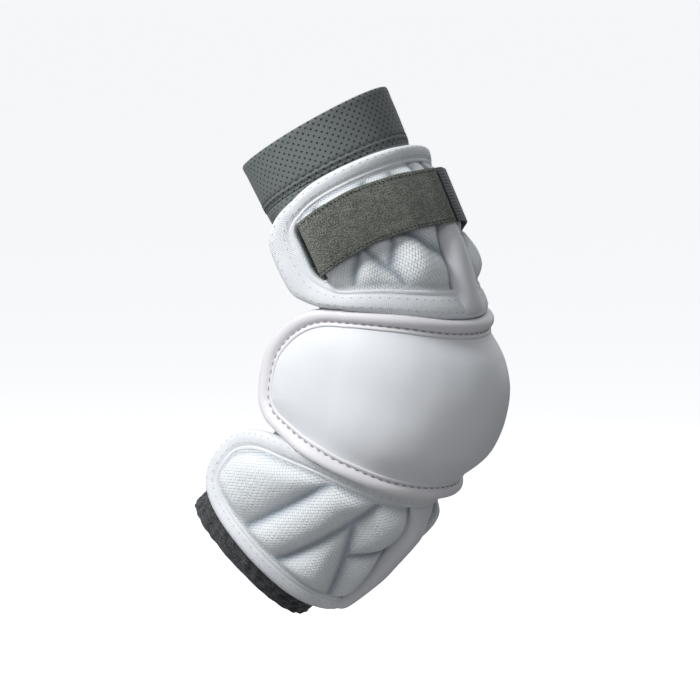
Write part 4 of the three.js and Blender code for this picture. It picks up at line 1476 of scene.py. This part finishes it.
@dataclass(frozen=True)
class Finish:
    """A cloth, cover or thread.

    Attributes:
        slot: Start of the material's name.
        pattern: Its surface pattern.
        color: Its colour.
        shade: The colour of its painted shade in the sewn valleys, and of its uneven places.
        cell: Size of the pattern's cell, in mm.
        depth: Depth of the pattern's bump, in mm.
        rough: Roughness.
        deep: How far the pattern's deep places move towards the shade.
        sheen: Weight of the sheen.
        uneven: How far the colour varies over the piece.
        flat: Whether the pattern follows the piece's own flat coordinates.
        turn: Turn of the pattern on the cloth, in degrees.
        valley: How far the painted shade in the sewn valleys moves the colour towards the shade.
    """

    slot: str
    pattern: Pattern
    color: tuple[float, float, float]
    shade: tuple[float, float, float]
    cell: float
    depth: float
    rough: float = 0.75
    deep: float = 0.4
    sheen: float = 0.15
    uneven: float = 0.3
    flat: bool = True
    turn: float = 0.0
    valley: float = 0.0

    @cache
    def material(self) -> bpy.types.Material:
        """The finish as a material, built once."""
        material = bpy.data.materials.new(f"{self.slot}_{self.pattern.name.lower()}")
        material.use_nodes = True
        color, shade = (*self.color, 1), (*self.shade, 1)
        material.diffuse_color = color
        shader = material.node_tree.nodes["Principled BSDF"]
        n = Nodes(material.node_tree)
        place = n.add("ShaderNodeTexCoord")
        spot = place.outputs["UV" if self.flat else "Object"]
        mapping = n.add("ShaderNodeMapping", None, Vector=spot, Rotation=(0, 0, math.radians(self.turn)))
        tree = {"node_tree": pattern_group(self.pattern)}
        pattern = n.add("ShaderNodeGroup", tree, Vector=mapping.outputs[0], Cell=self.cell * MM)
        wear = n.add("ShaderNodeGroup", {"node_tree": wear_group()}, Vector=place.outputs["Object"])
        toned = n.fill(wear, {1: color, 2: shade, 3: self.uneven, 4: UNEVEN_SIZE})
        deep = Value(n, pattern.outputs["Deep"])
        toned = n.blend(deep * self.deep, toned, shade)
        # Painted shade in the sewn valleys, from the panel's valley attribute
        if self.valley:
            depth = n.add("ShaderNodeAttribute", {"attribute_name": "valley"})
            toned = n.blend(Value(n, depth.outputs["Fac"]) * self.valley, toned, shade)
        n.put(shader.inputs["Base Color"], toned)
        n.put(shader.inputs["Roughness"], n.mix(deep, self.rough, min(1.0, self.rough + 0.15)))
        shader.inputs["Sheen Weight"].default_value = self.sheen
        shader.inputs["Sheen Roughness"].default_value = 0.5
        shader.inputs["Specular IOR Level"].default_value = 0.35
        bump = n.add(
            "ShaderNodeBump", None, Strength=1.0, Distance=self.depth * MM, Height=pattern.outputs["Height"]
        )
        n.put(shader.inputs["Normal"], bump.outputs[0])
        return material

    def dress(self, piece: Piece) -> None:
        """Gives the finish to a piece."""
        piece.data.materials.clear()
        piece.data.materials.append(self.material())


# Slot, pattern, colour and shade, then cell and depth in mm, rough, deep, sheen and uneven
WEAVE = Finish(
    "white_weave", Pattern.WEAVE, (0.90, 0.935, 0.96), (0.32, 0.375, 0.44), 1.6, 0.45, 0.7, 0.6, 0.05, 0.1,
    # valley: painted shade in the sewn valleys, towards the shade colour
    turn=38, valley=0.9,
)
KNIT = Finish(
    "white_knit", Pattern.KNIT, (0.88, 0.90, 0.925), (0.48, 0.52, 0.58), 1.25, 0.2, 0.8, 0.36, 0.05, 0.35,
)
SATIN = Finish(
    "white_satin", Pattern.GRAIN, (0.74, 0.75, 0.79), (0.58, 0.59, 0.64), 1.6, 0.02, 0.42, 0.1, 0.05, 0.25,
    flat=False,
)
CAP_SKIN = Finish(
    "cap_leather", Pattern.GRAIN, (0.79, 0.81, 0.845), (0.66, 0.68, 0.72), 1.3, 0.02, 0.44, 0.08, 0.0, 0.15,
    flat=False,
)
CAP_ROLL = Finish(
    "cap_binding", Pattern.GRAIN, (0.79, 0.785, 0.815), (0.60, 0.59, 0.61), 1.3, 0.02, 0.48, 0.08, 0.0, 0.25,
    flat=False,
)
COLLAR_MESH = Finish(
    "collar_mesh", Pattern.MESH, (0.142, 0.16, 0.16), (0.02, 0.024, 0.026), 5.4, 0.35, 0.8, 0.95, 0.1, 0.15,
)
SLEEVE_MESH = Finish(
    "sleeve_mesh", Pattern.MESH, (0.175, 0.198, 0.2), (0.025, 0.03, 0.032), 5.4, 0.3, 0.8, 0.85, 0.1, 0.2,
)
CUFF_KNIT = Finish(
    "cuff_elastic", Pattern.GRAIN, (0.046, 0.051, 0.058), (0.007, 0.008, 0.010), 2.8, 0.4, 0.6, 0.7, 0.3, 0.3,
    flat=False,
)
LOOP_PILE = Finish(
    "loop_pile", Pattern.PILE, (0.31, 0.33, 0.285), (0.05, 0.056, 0.046), 0.95, 0.7, 0.95, 0.85, 0.2, 0.4,
)
ELASTIC = Finish(
    "ribbed_elastic", Pattern.RIBS, (0.115, 0.128, 0.138), (0.02, 0.022, 0.026), 2.2, 0.5, 0.8, 0.85, 0.1,
    0.2, turn=90,
)
GRIP = Finish(
    "grip_elastic", Pattern.RIBS, (0.2, 0.215, 0.22), (0.08, 0.085, 0.09), 1.6, 0.15, 0.75, 0.4, 0.15, 0.2,
)
TAB_RUBBER = Finish(
    "tab_rubber", Pattern.GRAIN, (0.17, 0.19, 0.19), (0.10, 0.11, 0.11), 1.1, 0.05, 0.6, 0.2, 0.0, 0.3,
    flat=False,
)


def thread(slot: str, color: tuple, shade: tuple, rough: float = 0.7) -> Finish:
    """The finish of stitches, whose material's name starts like that of the cloth that they hold."""
    return Finish(slot, Pattern.THREAD, color, shade, 0.5, 0.05, rough, 0.4, 0.1, 0.2, flat=False)


WHITE_THREAD = thread("white_knit", (0.60, 0.63, 0.68), (0.36, 0.39, 0.44))
CAP_THREAD = thread("cap_binding", (0.42, 0.40, 0.42), (0.24, 0.23, 0.25))
GREY_THREAD = thread("collar_mesh", (0.09, 0.10, 0.10), (0.04, 0.04, 0.045), 0.8)
DARK_THREAD = thread("loop_pile", (0.05, 0.055, 0.05), (0.02, 0.02, 0.02), 0.9)


ORIGIN = Vector((0, 0, 0))

# Square soft lights: turn from the camera and height in degrees, distance and size in metres, power in watts
LAMPS: dict[str, tuple[float, ...]] = {
    "key": (-60, 38, 1.5, 0.55, 22.5),
    "fill": (4, 30, 2.2, 1.4, 6.8),
    "top": (175, 60, 1.6, 1.0, 6.0),
    "back": (150, 18, 2.2, 1.4, 6.5),
}


@dataclass(frozen=True)
class Studio:
    """The camera, the soft lights and the pale floor.

    Attributes:
        azimuth: Turn of the camera round the pad, in degrees.
        elevation: Its height above the horizon, in degrees.
        distance: Its distance from the pad, in metres.
        frame: Width of the view at the pad, in metres.
        aim_right: Where the view's middle lies to the right of the elbow, in metres.
        aim_up: Where it lies above the elbow.
        floor: Height of the floor, in metres.
    """

    azimuth: float = 30.0
    elevation: float = 6.0
    distance: float = 2.6
    frame: float = 0.455
    aim_right: float = -0.0273
    aim_up: float = 0.0013
    floor: float = -0.36

    @staticmethod
    def facing(azimuth: float, elevation: float) -> Vector:
        """The direction from the pad to a turn and a height in degrees."""
        a, e = math.radians(azimuth), math.radians(elevation)
        return Vector((math.sin(a) * math.cos(e), -math.cos(a) * math.cos(e), math.sin(e)))

    @staticmethod
    def place(data: bpy.types.ID, way: Vector, distance: float, aim: Vector = ORIGIN) -> Piece:
        """Puts a camera or a lamp at a distance from its aim, and faces it there."""
        body = bpy.data.objects.new(data.name, data)
        body.location = aim + way * distance
        body.rotation_euler = way.to_track_quat("Z", "Y").to_euler()
        bpy.context.scene.collection.objects.link(body)
        return body

    def camera(self) -> None:
        """A long lens at the photograph's viewing angle."""
        back, right = self.facing(self.azimuth, self.elevation), self.facing(self.azimuth + 90, 0)
        aim = right * self.aim_right + back.cross(right) * self.aim_up
        lens = bpy.data.cameras.new("camera")
        lens.sensor_width = 36.0
        lens.lens = 36.0 * self.distance / self.frame
        lens.clip_end = 60.0
        bpy.context.scene.camera = self.place(lens, back, self.distance, aim)

    @staticmethod
    def backdrop(tree: bpy.types.NodeTree, socket: bpy.types.NodeSocket, seen: float, lit: float) -> None:
        """Gives the backdrop one strength for the camera's rays and another one for the pad's light."""
        n = Nodes(tree)
        n.put(socket, n.mix(n.add("ShaderNodeLightPath").outputs["Is Camera Ray"], lit, seen))

    def build(self) -> None:
        """The lights, the sky and the floor."""
        bpy.context.scene.view_settings.view_transform = "Standard"
        for name, (turn, elevation, distance, size, power) in LAMPS.items():
            light = bpy.data.lights.new(name, "AREA")
            light.size = size
            light.energy = power
            self.place(light, self.facing(self.azimuth + turn, elevation), distance)
        world = bpy.data.worlds.new("studio")
        world.use_nodes = True
        shade = world.node_tree.nodes["Background"]
        shade.inputs["Color"].default_value = (0.94, 0.97, 1.0, 1)
        self.backdrop(world.node_tree, shade.inputs["Strength"], 0.95, 0.25)
        bpy.context.scene.world = world
        reach = np.asarray([[[-60.0, -60.0], [-60.0, 60.0]], [[60.0, -60.0], [60.0, 60.0]]]) / MM
        grid = np.concatenate([reach, np.full((2, 2, 1), self.floor / MM)], axis=-1)
        floor = build_mesh("studio_floor", grid)
        material = bpy.data.materials.new("studio_floor")
        material.use_nodes = True
        shader = material.node_tree.nodes["Principled BSDF"]
        n = Nodes(material.node_tree)
        camera_ray = n.add("ShaderNodeLightPath").outputs["Is Camera Ray"]
        n.put(shader.inputs["Base Color"], n.blend(camera_ray, (0.27, 0.27, 0.27, 1), (0.9, 0.9, 0.9, 1)))
        shader.inputs["Roughness"].default_value = 0.9
        shader.inputs["Emission Color"].default_value = (0.97, 0.98, 1.0, 1)
        self.backdrop(material.node_tree, shader.inputs["Emission Strength"], 0.72, 0.0)
        floor.data.materials.append(material)


def settle(piece: Piece, finish: Finish, *nodes: str) -> Piece:
    """Dresses a piece, makes it ride on the part and stand for its CAD nodes, and reports it."""
    finish.dress(piece)
    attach(piece, "root")
    if nodes:
        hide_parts(*nodes)
    LOG.info("%s: %d faces", piece.name, len(piece.data.polygons))
    return piece


def build_pads() -> None:
    """The two quilted pads with their bindings, spines and stitches."""
    strap = Strap()
    for pad in (BICEP, FOREARM):
        panel = pad.panel()
        if pad is BICEP:
            cut(panel, [strap.cutter(1), strap.cutter(-1)])
        settle(panel, WEAVE, f"{pad.name}_pad")
        settle(pad.binding_ring(), KNIT, f"{pad.name}_binding")
        settle(pad.spine_roll(), SATIN, f"{pad.name}_spine")
        for name, share, height in (("inner", 0.68, 0.9), ("outer", 0.26, 0.97)):
            line, up = pad.line_on(pad.binding * share, pad.thickness * height - 0.1, 700)
            settle(stitches(f"{pad.name}_{name}_stitches", line, up, 2.0, 4.0, 0.36), WHITE_THREAD)


def build_cap() -> None:
    """The elbow cap with its roll and the stitches in the roll's groove."""
    cap = ElbowCap()
    settle(cap.shell(), CAP_SKIN, "elbow_cap")
    settle(cap.roll_ring(), CAP_ROLL, "elbow_binding")
    line, up = cap.line_on(cap.roll * 0.77, cap.height * 0.64, 900)
    settle(stitches("elbow_roll_stitches", line, up, 3.4, 2.2, 0.62), CAP_THREAD)


def build_sleeve() -> None:
    """The sleeve, its collar, the grip band and the wrist's hem, with their stitches."""
    sleeve = Sleeve()
    for (node, piece), finish in zip(sleeve.build().items(), (COLLAR_MESH, GRIP, SLEEVE_MESH, CUFF_KNIT)):
        settle(piece, finish, node)
    turns = np.linspace(0, 2 * math.pi, 720)
    for name, down in zip(("collar_stitches_upper", "collar_stitches_lower"), sleeve.seams):
        line, up = sleeve.line_on(np.full(720, down), -0.1, turns)
        settle(stitches(name, line, up, 1.9, 0.9, 0.35), GREY_THREAD)


def build_strap() -> None:
    """The strap's tape, elastic and tab, with their stitches."""
    strap = Strap()
    pieces, lines, tab = strap.build()
    for (node, piece), finish in zip(pieces.items(), (LOOP_PILE, ELASTIC, TAB_RUBBER)):
        settle(piece, finish, node)
    for piece in strap.relief(tab):
        settle(piece, TAB_RUBBER)
    for name, (line, up) in lines.items():
        settle(stitches(f"strap_{name}_stitches", line, up, 1.8, 1.1, 0.4), DARK_THREAD)


def main() -> None:
    """Builds the pad round its frame, sub-assembly by sub-assembly."""
    logging.basicConfig(level=logging.INFO, format="%(message)s")
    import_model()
    studio = Studio()
    studio.camera()
    studio.build()
    build_sleeve()
    build_pads()
    build_cap()
    build_strap()


if __name__ == "__main__":
    main()
